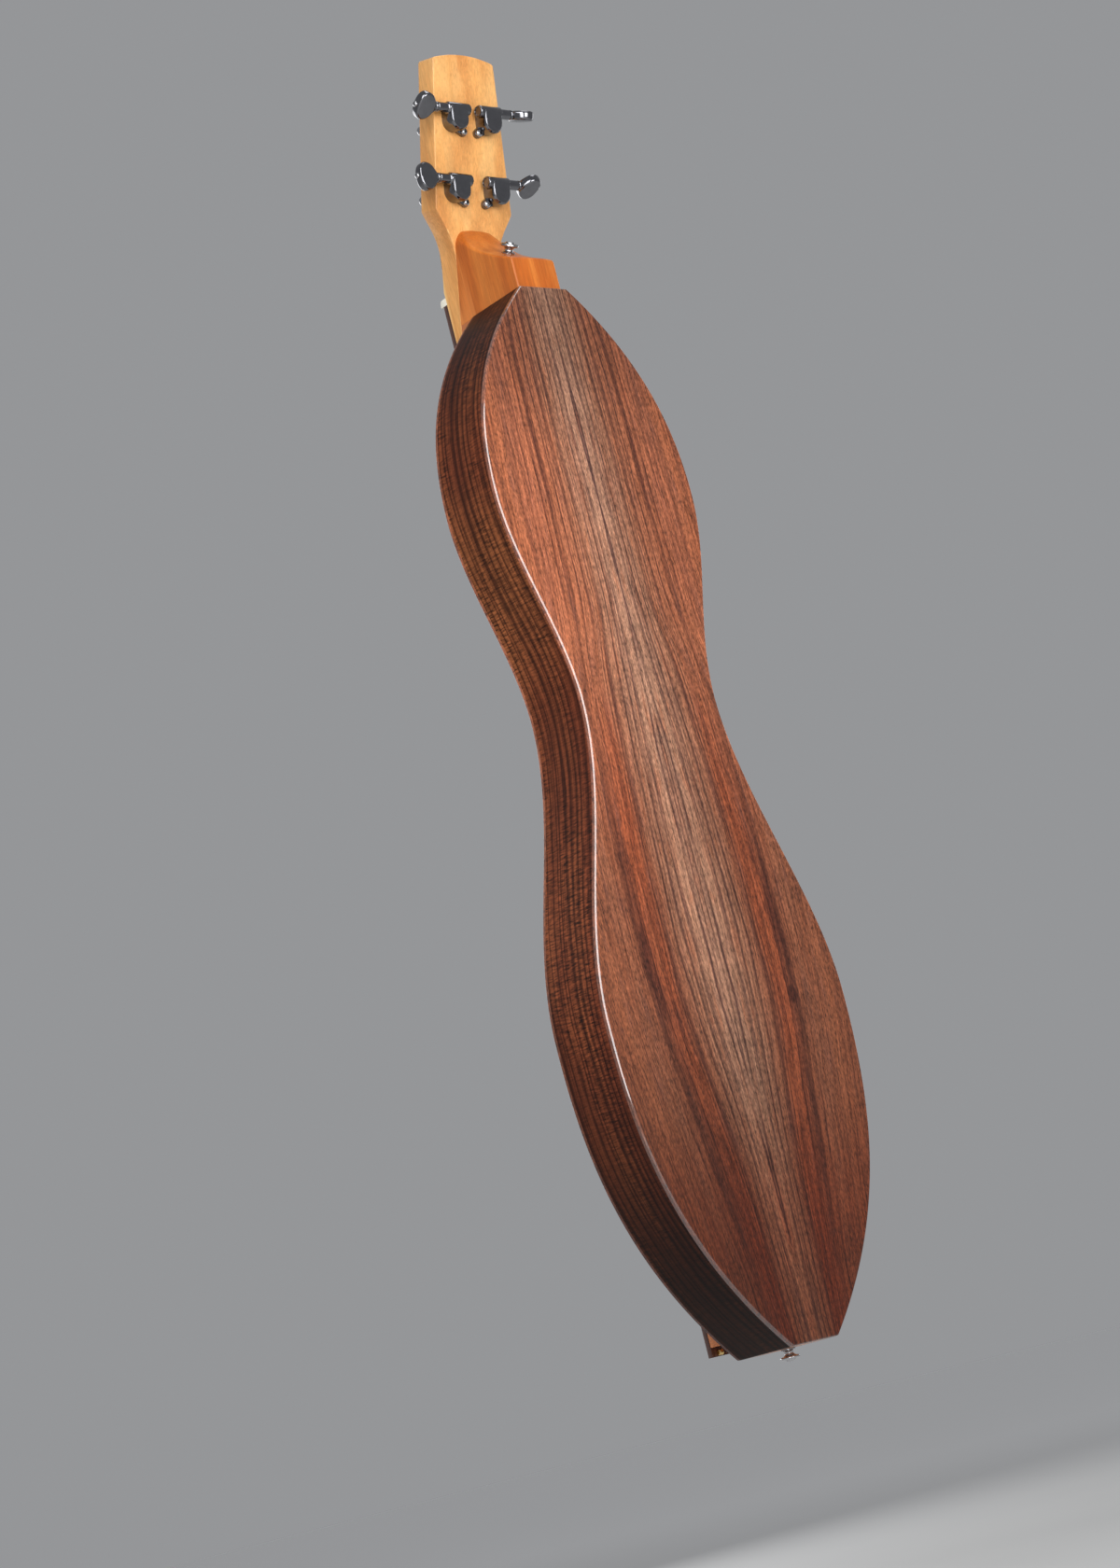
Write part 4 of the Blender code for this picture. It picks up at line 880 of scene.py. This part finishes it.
outline = head_outline()
edge = 0.0007
levels = [(-0.045, 0.0)] + [(-edge * (1 - math.sin(a)), edge * (1 - math.cos(a))) for a in (math.pi / 2 * k / 5 for k in range(6))]
rings = [[(x, s, c) for x, s in (inset_ring(outline, i) if i > 1e-7 else outline)] for c, i in levels]
head = moved(loft("head", rings), HEAD_M)
tip_back, far = scarf_y(SCARF_TIP_Z), 0.90
side_cut = [
    (SCARF_TIP_Z, tip_back - 0.02), (SCARF_TIP_Z, STICK_TOP), (LEDGE_Z, STICK_TOP),
    (LEDGE_Z, scarf_y(LEDGE_Z, HEAD_T)), (far, scarf_y(far, HEAD_T)), (far, -0.08),
]
keep = loft("keep", [[(x, y, z) for z, y in side_cut] for x in (-0.06, 0.06)])
boolean(head, "INTERSECT", keep)
bevel(head, 0.0006, 3, 50)
drills = []
for word, (px, ps) in TUNERS.items():
    sign = 1 if px > 0 else -1
    for r, x, s, c0, c1, n in ((BUSH_R + 0.0001, px, ps, -HEAD_T - 0.004, 0.004, 32), (0.0013, px + sign * LUG[0], ps + LUG[1], -0.0098, 0.004, 16)):
        drills.append(moved(turned("cut", ((r, c0), (r, c1)), n), HEAD_M @ Matrix.Translation((x, s, 0.0))))
boolean(head, "DIFFERENCE", *drills)
piece(head, "headstock_shaped", "instrument", "light_cherry", M_HEAD, "headstock", smooth=34)


# ------------------------------------------------------------------ fingerboard, frets, nut, saddle
def fret_z(semis):
    return NUT_Z - STRING_LENGTH * (1 - 2 ** (-semis / 12))


FRETS = (
    ("01", 2), ("02", 4), ("03", 5), ("04", 7), ("05", 9), ("06", 10), ("06_half", 11), ("07", 12), ("08", 14), ("09", 16),
    ("10", 17), ("11", 19), ("12", 21), ("13", 22), ("13_half", 23), ("14", 24), ("15", 26), ("16", 28), ("17", 29),
)
chord = (STRUM_HIGH - STRUM_LOW) / 2
strum_r = (chord**2 + STRUM_DEEP**2) / (2 * STRUM_DEEP)
strum_mid = (STRUM_HIGH + STRUM_LOW) / 2
top_line = [(NUT_Z - HAIR, BOARD_TOP), (STRUM_HIGH + 0.0015, BOARD_TOP)]
for k in range(0, 41):
    z = STRUM_HIGH + (STRUM_LOW - STRUM_HIGH) * k / 40
    drop = math.sqrt(strum_r**2 - (z - strum_mid) ** 2) - (strum_r - STRUM_DEEP)
    top_line.append((z, BOARD_TOP - drop))
top_line += [(STRUM_LOW - 0.0015, BOARD_TOP), (BOARD_TAIL, BOARD_TOP)]
side_view = top_line + [(BOARD_TAIL, STICK_TOP + HAIR), (NUT_Z - HAIR, STICK_TOP + HAIR)]
rings = []
for x, drop in ((-NECK_HALF, 0.00045), (-NECK_HALF + 0.00013, 0.00013), (-NECK_HALF + 0.00045, 0.0), (NECK_HALF - 0.00045, 0.0), (NECK_HALF - 0.00013, 0.00013), (NECK_HALF, 0.00045)):
    rings.append([(x, y - drop if y > STICK_TOP + 0.0005 else y, z) for z, y in side_view])
board = loft("board", rings)
cuts = [box("cut", (-0.0172, BOARD_LOW + 0.0012, SADDLE_Z - SADDLE_T / 2 - 0.0001), (0.0172, BOARD_TOP + 0.002, SADDLE_Z + SADDLE_T / 2 + 0.0001))]
for _, tail_x, _, _ in STRINGS.values():
    cuts.append(box("cut", (tail_x - 0.0006, BOARD_LOW - 0.002, BOARD_TAIL - 0.002), (tail_x + 0.0006, BOARD_TOP + 0.002, BOARD_TAIL + 0.0036)))
boolean(board, "DIFFERENCE", *cuts)
piece(board, "fingerboard_overlay", "instrument", "rosewood", M_ROSE, "fingerboard", smooth=25)

for label, semis in FRETS:
    z = fret_z(semis)
    half = NECK_HALF - 0.0004
    rings = []
    for x, size in ((-half, 0.35), (-half + 0.0002, 0.72), (-half + 0.0006, 0.95), (-half + 0.0011, 1.0), (half - 0.0011, 1.0), (half - 0.0006, 0.95), (half - 0.0002, 0.72), (half, 0.35)):
        ring = [(x, BOARD_TOP + 0.0010 * size * math.sin(a) + 0.00005, z + 0.0010 * math.cos(a)) for a in (math.pi * k / 14 for k in range(15))]
        ring += [(x, BOARD_TOP - 0.0006, z - 0.0010), (x, BOARD_TOP - 0.0006, z + 0.0010)]
        rings.append(ring)
    obj = loft("fret", rings)
    nodes = ["fret_" + label] if "fret_" + label in cad_nodes else []
    piece(obj, f"fret_{label}_wire", "instrument", "nickel_silver", M_NICKEL, *nodes, smooth=40)

nut_side = [
    (NUT_Z, STICK_TOP + HAIR), (NUT_Z + NUT_T, STICK_TOP + HAIR), (NUT_Z + NUT_T, NUT_TOP - 0.0016), (NUT_Z + NUT_T * 0.90, NUT_TOP - 0.0009),
    (NUT_Z + NUT_T * 0.70, NUT_TOP - 0.0004), (NUT_Z + NUT_T * 0.45, NUT_TOP - 0.0001), (NUT_Z + NUT_T * 0.2, NUT_TOP), (NUT_Z, NUT_TOP),
]
nut = loft("nut", [[(x, y, z) for z, y in nut_side] for x in (-NECK_HALF, NECK_HALF)])
bevel(nut, 0.00025, 2, 40)
boolean(nut, "DIFFERENCE", *[box("cut", (x - w - 0.0001, NUT_TOP - 0.0008, NUT_Z - 0.002), (x + w + 0.0001, NUT_TOP + 0.002, NUT_Z + NUT_T + 0.002)) for x, _, w, _ in STRINGS.values()])
piece(nut, "nut_bone", "instrument", "bone", M_BONE, "nut")
saddle_side = [(-0.0015, BOARD_LOW + 0.0013), (0.0015, BOARD_LOW + 0.0013), (0.0015, SADDLE_TOP - 0.0010), (0.0011, SADDLE_TOP - 0.0004), (0.0005, SADDLE_TOP), (-0.0005, SADDLE_TOP), (-0.0011, SADDLE_TOP - 0.0004), (-0.0015, SADDLE_TOP - 0.0010)]
saddle = loft("saddle", [[(x, y, SADDLE_Z + z) for z, y in saddle_side] for x in (-0.0168, 0.0168)])
bevel(saddle, 0.0002, 2, 50)
piece(saddle, "saddle_bone", "instrument", "bone", M_BONE, "saddle")


# ------------------------------------------------------------------ tuners
def worm_thread():
    per_turn, low, high = 20, -1.8, 0.8
    count = round((high - low) * per_turn)
    tip_r, root_r = WORM_R + ADD, WORM_R - DED
    rings = []
    for k in range(count + 1):
        turn = low + k / per_turn
        angle = math.pi + 2 * math.pi * turn
        mid = PITCH * (turn + 0.5)
        run_out = min(1.0, (k + 0.4) / 6, (count - k + 0.4) / 6)
        crest = root_r + (tip_r - root_r) * run_out
        rings.append([(mid + da, r * math.cos(angle), r * math.sin(angle)) for da, r in ((-0.00056, root_r - 0.0003), (-0.00026, crest), (0.00026, crest), (0.00056, root_r - 0.0003))])
    return loft("join", rings)


def button(turn_deg):
    half = [(0.0196, 0.0028), (0.0208, 0.0046), (0.0226, 0.0069), (0.0248, 0.0086), (0.0274, 0.0095), (0.0298, 0.0094), (0.0320, 0.0083), (0.0336, 0.0064), (0.0345, 0.0040), (0.0349, 0.0014)]
    rim = [(p.x, p.y) for p in smooth_line([(a, b, 0.0) for a, b in half], 4)]
    rim = rim + [(a, -b) for a, b in reversed(rim)]
    mid, rings = 0.0280, []
    levels = []
    for k in range(9):
        a = math.pi / 2 * k / 8
        levels.append((0.0016 * (1 - math.sin(a)), -0.0032 + 0.0020 * (1 - math.cos(a))))
    levels = levels + [(i, -h) for i, h in reversed(levels)]
    # the faces are barely crowned
    for inset, height in levels:
        sx, sy = 1 - inset / 0.0076, 1 - inset / 0.0095
        rings.append([(mid + (x - mid) * sx, y * sy, height) for x, y in rim])
    return moved(loft("join", rings), Matrix.Rotation(math.radians(turn_deg), 4, "X"))


def gear_post():
    tip_r, root_r = GEAR_R + ADD, GEAR_R - DED
    lead = PITCH / (2 * math.pi * WORM_R)
    rings = []
    for dz in (-0.0020, 0.0020):
        ring = []
        for tooth in range(TEETH):
            centre = math.pi / 2 + 2 * math.pi * tooth / TEETH + dz * lead / GEAR_R
            for h, r in ((-0.00062, root_r), (-0.00026, tip_r), (0.00026, tip_r), (0.00062, root_r)):
                a = centre + h / r
                ring.append((r * math.cos(a), r * math.sin(a), WORM_C + dz))
        rings.append(ring)
    gear = loft("gear", rings)
    f = -HEAD_T
    post = turned("join", (
        (0.0022, WORM_C + 0.0024), (POST_R, WORM_C + 0.0016), (POST_R, f - 0.0064), (0.0029, f - 0.0068), (0.0026, f - 0.0078), (0.0024, f - 0.0088),
        (0.0024, f - 0.0106), (0.0026, f - 0.0116), (0.0029, f - 0.0126), (POST_R, f - 0.0130), (POST_R, f - 0.0164), (0.0028, f - 0.0171), (0.0023, f - 0.0176),
    ), 36)
    boolean(gear, "UNION", post)
    hole = moved(turned("cut", ((0.0007, -0.006), (0.0007, 0.006)), 16, axis=0), Matrix.Translation((0.0, 0.0, f - 0.0097)) @ Matrix.Rotation(0.6, 4, "Z"))
    return boolean(gear, "DIFFERENCE", hole)


def housing():
    arc = [(CASE_W * math.cos(a), CASE_R * math.sin(a)) for a in (math.pi + math.pi * k / 44 for k in range(45))]
    ring0 = arc + [(CASE_W, CASE_UP), (-CASE_W, CASE_UP)]
    rings = []
    for inset, c in ((0.0, 0.00003), (0.0, CASE_TOP - 0.0019), (0.00008, CASE_TOP - 0.0016), (0.00026, CASE_TOP - 0.0012), (0.00092, CASE_TOP - 0.00028), (0.00110, CASE_TOP - 0.00008), (0.0013, CASE_TOP)):
        k = 1 - inset / CASE_R
        rings.append([(x * k, y * k, c) for x, y in ring0])
    case = loft("case", rings)
    worm_axis = Matrix.Translation((0.0, CENTRES, WORM_C))
    profile = [(0.0025, BARREL_IN + 0.0007), (0.0028, BARREL_IN + 0.0006), (0.0030, BARREL_IN + 0.0001), (0.0032, BARREL_IN)]
    profile += [(0.0034 + 0.0009 * math.sin(a), BARREL_IN + 0.0013 * (1 - math.cos(a))) for a in (math.pi / 2 * k / 6 for k in range(1, 7))]
    profile += [(BARREL_R, BARREL_OUT - 0.0009), (BARREL_R - 0.0002, BARREL_OUT - 0.0005), (NOSE_R + 0.0003, BARREL_OUT + 0.0001), (NOSE_R, BARREL_OUT + 0.0004), (NOSE_R, NOSE_OUT - 0.0003), (NOSE_R - 0.0003, NOSE_OUT)]
    barrel = moved(turned("join", profile, 44, axis=0), worm_axis)
    lug_ring = []
    for k in range(25):
        a = math.radians(128 + 180 * k / 24)
        lug_ring.append((LUG[0] + 0.0030 * math.cos(a), LUG[1] + 0.0030 * math.sin(a)))
    lug_ring += [(0.0005, -0.0055), (-0.0045, 0.0005)]
    ins = [inset_ring(lug_ring, i) if i else lug_ring for i in (0.0, 0.0, 0.0001, 0.0004)]
    lug = loft("join", [[(x, y, c) for x, y in r] for r, c in zip(ins, (0.00003, 0.0022, 0.0025, 0.0026))])
    boolean(case, "UNION", barrel, lug)
    cavity = turned("cut", ((0.0060, -0.002), (0.0060, 0.0088)), 32)
    bore = moved(turned("cut", ((BORE_R, BARREL_IN + 0.0026), (BORE_R, 0.0062), (NOSE_BORE, 0.0068), (NOSE_BORE, NOSE_OUT + 0.002)), 28, axis=0), worm_axis)
    screw = moved(turned("cut", ((0.0013, -0.002), (0.0013, 0.006)), 20), Matrix.Translation((*LUG, 0.0)))
    return boolean(case, "DIFFERENCE", cavity, bore, screw)


def cross_cut(width, depth_from, depth_to, reach):
    tools = []
    for a in (0.0, math.pi / 2):
        r = [(reach * 0.55, depth_from), (reach, depth_to), (-reach, depth_to), (-reach * 0.55, depth_from)]
        t = loft("cut", [[(x, y, z) for x, z in r] for y in (-width / 2, width / 2)])
        tools.append(moved(t, Matrix.Rotation(a, 4, "Z")))
    return tools


def pan_screw(profile, cross):
    return boolean(turned("screw", profile, 32), "DIFFERENCE", *cross_cut(*cross))


for word, (px, ps) in TUNERS.items():
    sign = 1 if px > 0 else -1
    flip = Matrix.Scale(sign, 4, (1, 0, 0))
    place = HEAD_M @ Matrix.Translation((px, ps, 0.0))
    name = "tuner_" + word

    case = moved(moved(housing(), flip), place)
    piece(case, name + "_case", "instrument", "chrome", M_CHROME, name + "_housing", smooth=30)

    shaft = turned("shaft", (
        (0.0032, -0.0077), (0.0032, -0.0058), (WORM_R - DED, -0.0054), (WORM_R - DED, 0.0048), (0.0032, 0.0052), (0.0032, 0.0059), (0.0024, 0.0061),
        (0.0024, NOSE_OUT + 0.0003), (0.0031, NOSE_OUT + 0.0004), (0.0034, NOSE_OUT + 0.0007), (0.0034, 0.0185), (0.0031, 0.0190), (0.0026, 0.0193), (0.0025, 0.0214),
    ), 32, axis=0)
    boolean(shaft, "UNION", worm_thread(), button(BUTTON_DEG[word]))
    at_shaft = place @ Matrix.Translation((0.0, CENTRES, WORM_C))
    moved(moved(shaft, flip), at_shaft)
    piece(shaft, name + "_knob", word + "_button", "chrome", M_CHROME, name + "_button_shaft", smooth=34)

    tip = pan_screw(((0.0010, -0.0030), (0.0010, 0.0001), (0.0019, 0.0001), (0.0019, 0.0006), (0.0017, 0.0012), (0.0012, 0.0016), (0.0005, 0.0018)), (0.0004, 0.0010, 0.0022, 0.0012))
    moved(tip, Matrix.Translation((0.0349, 0.0, 0.0)) @ Matrix.Rotation(math.pi / 2, 4, "Y"))
    moved(moved(tip, flip), at_shaft)
    piece(tip, name + "_knob_screw", word + "_button", "chrome", M_BRIGHT, smooth=34)

    post = moved(moved(gear_post(), flip), place)
    piece(post, name + "_peg", word + "_string_post", "chrome", M_BRIGHT, name + "_post", smooth=34)

    f = -HEAD_T
    sleeve = turned("sleeve", (
        (BUSH_BORE, -0.0040), (BUSH_R, -0.0040), (BUSH_R, f - 0.00005), (0.0056, f - 0.00005), (0.0058, f - 0.0003), (0.0058, f - 0.0010), (0.0056, f - 0.0012),
        (0.0043, f - 0.0013), (0.0043, f - 0.0036), (0.0040, f - 0.0040), (BUSH_BORE, f - 0.0040),
    ), 40, hollow=True)
    nut_ring = []
    for inset, c in ((0.0, f - 0.0012), (0.0, f - 0.0029), (0.0003, f - 0.0033)):
        ring = []
        for k in range(36):
            a = math.radians(10 * k)
            hexa = 0.0047 / math.cos((a + math.pi / 6) % (math.pi / 3) - math.pi / 6)
            ring.append(((hexa - inset) * math.cos(a), (hexa - inset) * math.sin(a), c))
        nut_ring.append(ring)
    hexnut = loft("join", nut_ring)
    hexnut = boolean(hexnut, "DIFFERENCE", turned("cut", ((0.0041, f - 0.006), (0.0041, f + 0.002)), 40))
    boolean(sleeve, "UNION", hexnut)
    piece(moved(sleeve, place), name + "_ferrule", "instrument", "chrome", M_BRIGHT, name + "_bushing", smooth=30)

    screw = pan_screw(((0.0004, -0.0088), (0.0010, -0.0070), (0.0010, 0.0027), (0.0025, 0.0027), (0.0026, 0.0031), (0.0024, 0.0037), (0.0019, 0.0042), (0.0010, 0.0046)), (0.00075, 0.0030, 0.0060, 0.0018))
    moved(screw, Matrix.Rotation(0.4 * sign + 0.3 * (ps > 0.03), 4, "Z"))
    piece(moved(screw, place @ Matrix.Translation((sign * LUG[0], LUG[1], 0.0))), name + "_case_screw", "instrument", "chrome", M_BRIGHT, name + "_screw", smooth=34)

# ------------------------------------------------------------------ strings
def tube(name, route, radius, sides=10):
    rings = []
    across = None
    for k, p in enumerate(route):
        along = (route[min(k + 1, len(route) - 1)] - route[max(k - 1, 0)]).normalized()
        if across is None:
            across = Vector((1.0, 0.0, 0.0))
            if abs(along.x) > 0.9:
                across = Vector((0.0, 0.0, 1.0))
        across = (across - along * across.dot(along)).normalized()
        other = along.cross(across)
        rings.append([p + radius * (math.cos(a) * across + math.sin(a) * other) for a in (2 * math.pi * (j + 0.5) / sides for j in range(sides))])
    return loft(name, rings)


BALL_R, BALL_HALF = 0.0019, 0.0016
for name, (nut_x, tail_x, w, tuner) in STRINGS.items():
    px, ps = TUNERS[tuner]
    sign = 1 if px > 0 else -1
    ball_y = BOARD_LOW - BALL_R - GAP
    start = Vector((tail_x, ball_y, BOARD_TAIL + 0.0022))
    seat = Vector((tail_x, SADDLE_TOP + w, SADDLE_Z))
    rest = Vector((nut_x, NUT_TOP - 0.0008 + w, NUT_Z + 0.0006))
    leave = Vector((nut_x, NUT_TOP - 0.0008 + w - 0.0002, NUT_Z + NUT_T - 0.0004))
    end = HEAD_M @ Vector((px - sign * (0.0024 + w), ps, -HEAD_T - 0.0097))
    over = start + Vector((0.0, BOARD_TOP - ball_y + 0.0004, 0.0))
    corner = [start + Vector((0, 0.0016, 0)), over - Vector((0, 0.0012, 0)), over - Vector((0, 0.0005, -0.00005)), over + Vector((0, 0.0000, 0.0004)), over + Vector((0, 0.0001, 0.0012))]
    route = [start] + corner
    for a, b, n in ((route[-1], seat - Vector((0, 0.00008, 0.0016)), 4), (seat, seat, 1), (seat + Vector((0, -0.00001, 0.0016)), rest, 12), (leave, end, 10)):
        route += [a.lerp(b, k / n) for k in range(n + 1)] if n > 1 else [a]
    clean = [route[0]]
    for p in route[1:]:
        if (p - clean[-1]).length > 1e-5:
            clean.append(p)
    strand = tube("strand", clean, w, 12)
    bass = name == "string_bass"
    piece(strand, name + "_wire", "instrument", "string_steel", M_WOUND if bass else M_STEEL, name, smooth=50)

    ball = turned("ball", ((0.0008, -BALL_HALF), (0.0015, -BALL_HALF), (BALL_R, -BALL_HALF + 0.0003), (0.0017, -0.0006), (0.0015, 0.0), (0.0017, 0.0006), (BALL_R, BALL_HALF - 0.0003), (0.0015, BALL_HALF), (0.0008, BALL_HALF)), 24, hollow=True, axis=0)
    piece(moved(ball, Matrix.Translation(start)), name + "_ball", "instrument", "string_steel", M_BRASS, smooth=40)

    # turns round the post, in the post's own frame, towards the headstock from the hole
    turns, step = (2.6 if bass else 3.4), 2 * w * 1.06
    c0 = -HEAD_T - 0.0097
    helix = []
    steps = int(turns * 22)
    phase = math.pi if sign > 0 else 0.0
    for k in range(steps + 1):
        t = k / 22
        a = phase + sign * 2 * math.pi * t
        r = 0.0024 + w + 0.00003
        helix.append(Vector((r * math.cos(a), r * math.sin(a), c0 + min(step * t, 0.0016) if k else c0)))
    coil = tube("coil", [HEAD_M @ (Vector((px, ps, 0.0)) + p) for p in helix], w, 8)
    piece(coil, name + "_turns", tuner + "_string_post", "string_steel", M_WOUND if bass else M_STEEL, smooth=50)

# ------------------------------------------------------------------ strap buttons
for word, seat in (("head", HEAD_STRAP), ("tail", TAIL_STRAP)):
    knob = turned("knob", (
        (0.0018, 0.00002), (0.0044, 0.00002), (0.0046, 0.0002), (0.0046, 0.0009), (0.0043, 0.0012), (0.0036, 0.0015), (0.0031, 0.0020), (0.0029, 0.0028), (0.0030, 0.0036),
        (0.0035, 0.0042), (0.0046, 0.0046), (0.0060, 0.0049), (0.0063, 0.0053), (0.0064, 0.0058), (0.0062, 0.0063), (0.0056, 0.0066), (0.0046, 0.0069), (0.0040, 0.0069), (0.0018, 0.0050),
    ), 56, hollow=True)
    piece(moved(knob, seat), f"strap_button_{word}_knob", "instrument", "chrome", M_BRIGHT, "strap_button_" + word, smooth=40)
    screw = pan_screw(((0.0004, -0.0195), (0.0013, -0.0170), (0.0013, 0.0050), (0.0033, 0.0069), (0.0032, 0.0073), (0.0026, 0.0078), (0.0012, 0.0080)), (0.0006, 0.0066, 0.0095, 0.0020))
    piece(moved(screw, seat), f"strap_screw_{word}_phillips", "instrument", "chrome", M_BRIGHT, "strap_screw_" + word, smooth=34)

# ------------------------------------------------------------------ inner pieces keep their CAD shape
for node, obj in cad_nodes.items():
    mat = None
    if "brace" in node or "lining" in node:
        mat = M_SPRUCE
    elif node == "tail_block":
        mat = M_STICK
    if mat is not None:
        obj.data.materials.clear()
        obj.data.materials.append(mat)

# ------------------------------------------------------------------ stage, lights, camera
t = Tree("stage_paper")
fine = t.noise(t.scaled((3.0, 3.0, 3.0)), 1.0, 3.0, 0.5)
# paler with distance, so that the floor runs into the background without a horizon
x, y, z = t.xyz()
far = t.math("SQRT", t.math("ADD", t.math("MULTIPLY", x, x), t.math("MULTIPLY", y, y)))
tone = t.mix(t.span(far, 1.0, 6.5), t.mix(fine, (0.60, 0.60, 0.595), (0.63, 0.63, 0.62)), (0.99, 0.99, 0.99))
paper = t.out(tone, t.span(fine, 0.3, 0.7, 0.85, 0.95), specular=0.1)
floor = solid("stage_floor", [(-30, -30, -0.26), (30, -30, -0.26), (30, 30, -0.26), (-30, 30, -0.26)], [(0, 1, 2, 3)])
floor.data.materials.append(paper)
if floor.data.polygons[0].normal.z < 0:
    floor.data.flip_normals()
floor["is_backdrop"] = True

world = bpy.data.worlds.new("studio")
scene.world = world
world.use_nodes = True
bg = world.node_tree.nodes["Background"]
bg.inputs["Color"].default_value = (0.30, 0.305, 0.315, 1.0)
bg.inputs["Strength"].default_value = 1.0

RIGHT = Vector((0.736146, -0.632908, -0.239828))
UP = Vector((0.048640, -0.303956, 0.951443))
AHEAD = Vector((0.675073, 0.712066, 0.192972))
MID = Vector((0.0, 0.0, 0.42))


def softbox(name, across, up, near_by, size, power, aim=MID, tone=(1.0, 1.0, 1.0)):
    """A square soft light at a place told in the camera's directions from the middle."""
    data = bpy.data.lights.new(name, "AREA")
    data.shape = "RECTANGLE"
    data.size, data.size_y = size
    data.energy = power
    data.color = tone
    obj = bpy.data.objects.new(name, data)
    scene.collection.objects.link(obj)
    obj.location = MID + RIGHT * across + UP * up - AHEAD * near_by
    obj.rotation_euler = (aim - obj.location).to_track_quat("-Z", "Y").to_euler()
    obj.visible_camera = False
    return obj


softbox("strip_left", -0.35, 0.98, 1.85, (0.9, 2.2), 33.0)
softbox("key_right", 0.70, 0.66, 1.15, (0.7, 0.7), 11.5, aim=Vector((0.0, 0.0, 0.48)))
softbox("above", 0.2, 2.3, -0.5, (1.4, 0.8), 9.0)
softbox("rim_right", 0.95, 0.35, -1.35, (0.5, 1.3), 3.5, aim=Vector((0.0, 0.0, 0.60)))
softbox("front", -1.68, -0.32, -2.52, (3.0, 1.7), 38.0)

cam = bpy.data.cameras.new("camera")
cam.lens, cam.sensor_width, cam.sensor_fit = 75.0, 36.0, "AUTO"
cam.clip_start, cam.clip_end = 0.05, 100.0
eye = bpy.data.objects.new("camera", cam)
scene.collection.objects.link(eye)
eye.matrix_world = Matrix((
    (RIGHT.x, UP.x, -AHEAD.x, -1.44993),
    (RIGHT.y, UP.y, -AHEAD.y, -1.45470),
    (RIGHT.z, UP.z, -AHEAD.z, -0.02394),
    (0.0, 0.0, 0.0, 1.0),
))
scene.camera = eye
scene.view_settings.view_transform = "Standard"


def plain(v):
    if isinstance(v, (int, float)):
        return float(v)
    return [plain(x) for x in v]


{"cad": plain(cad_box), "visual": plain(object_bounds())}
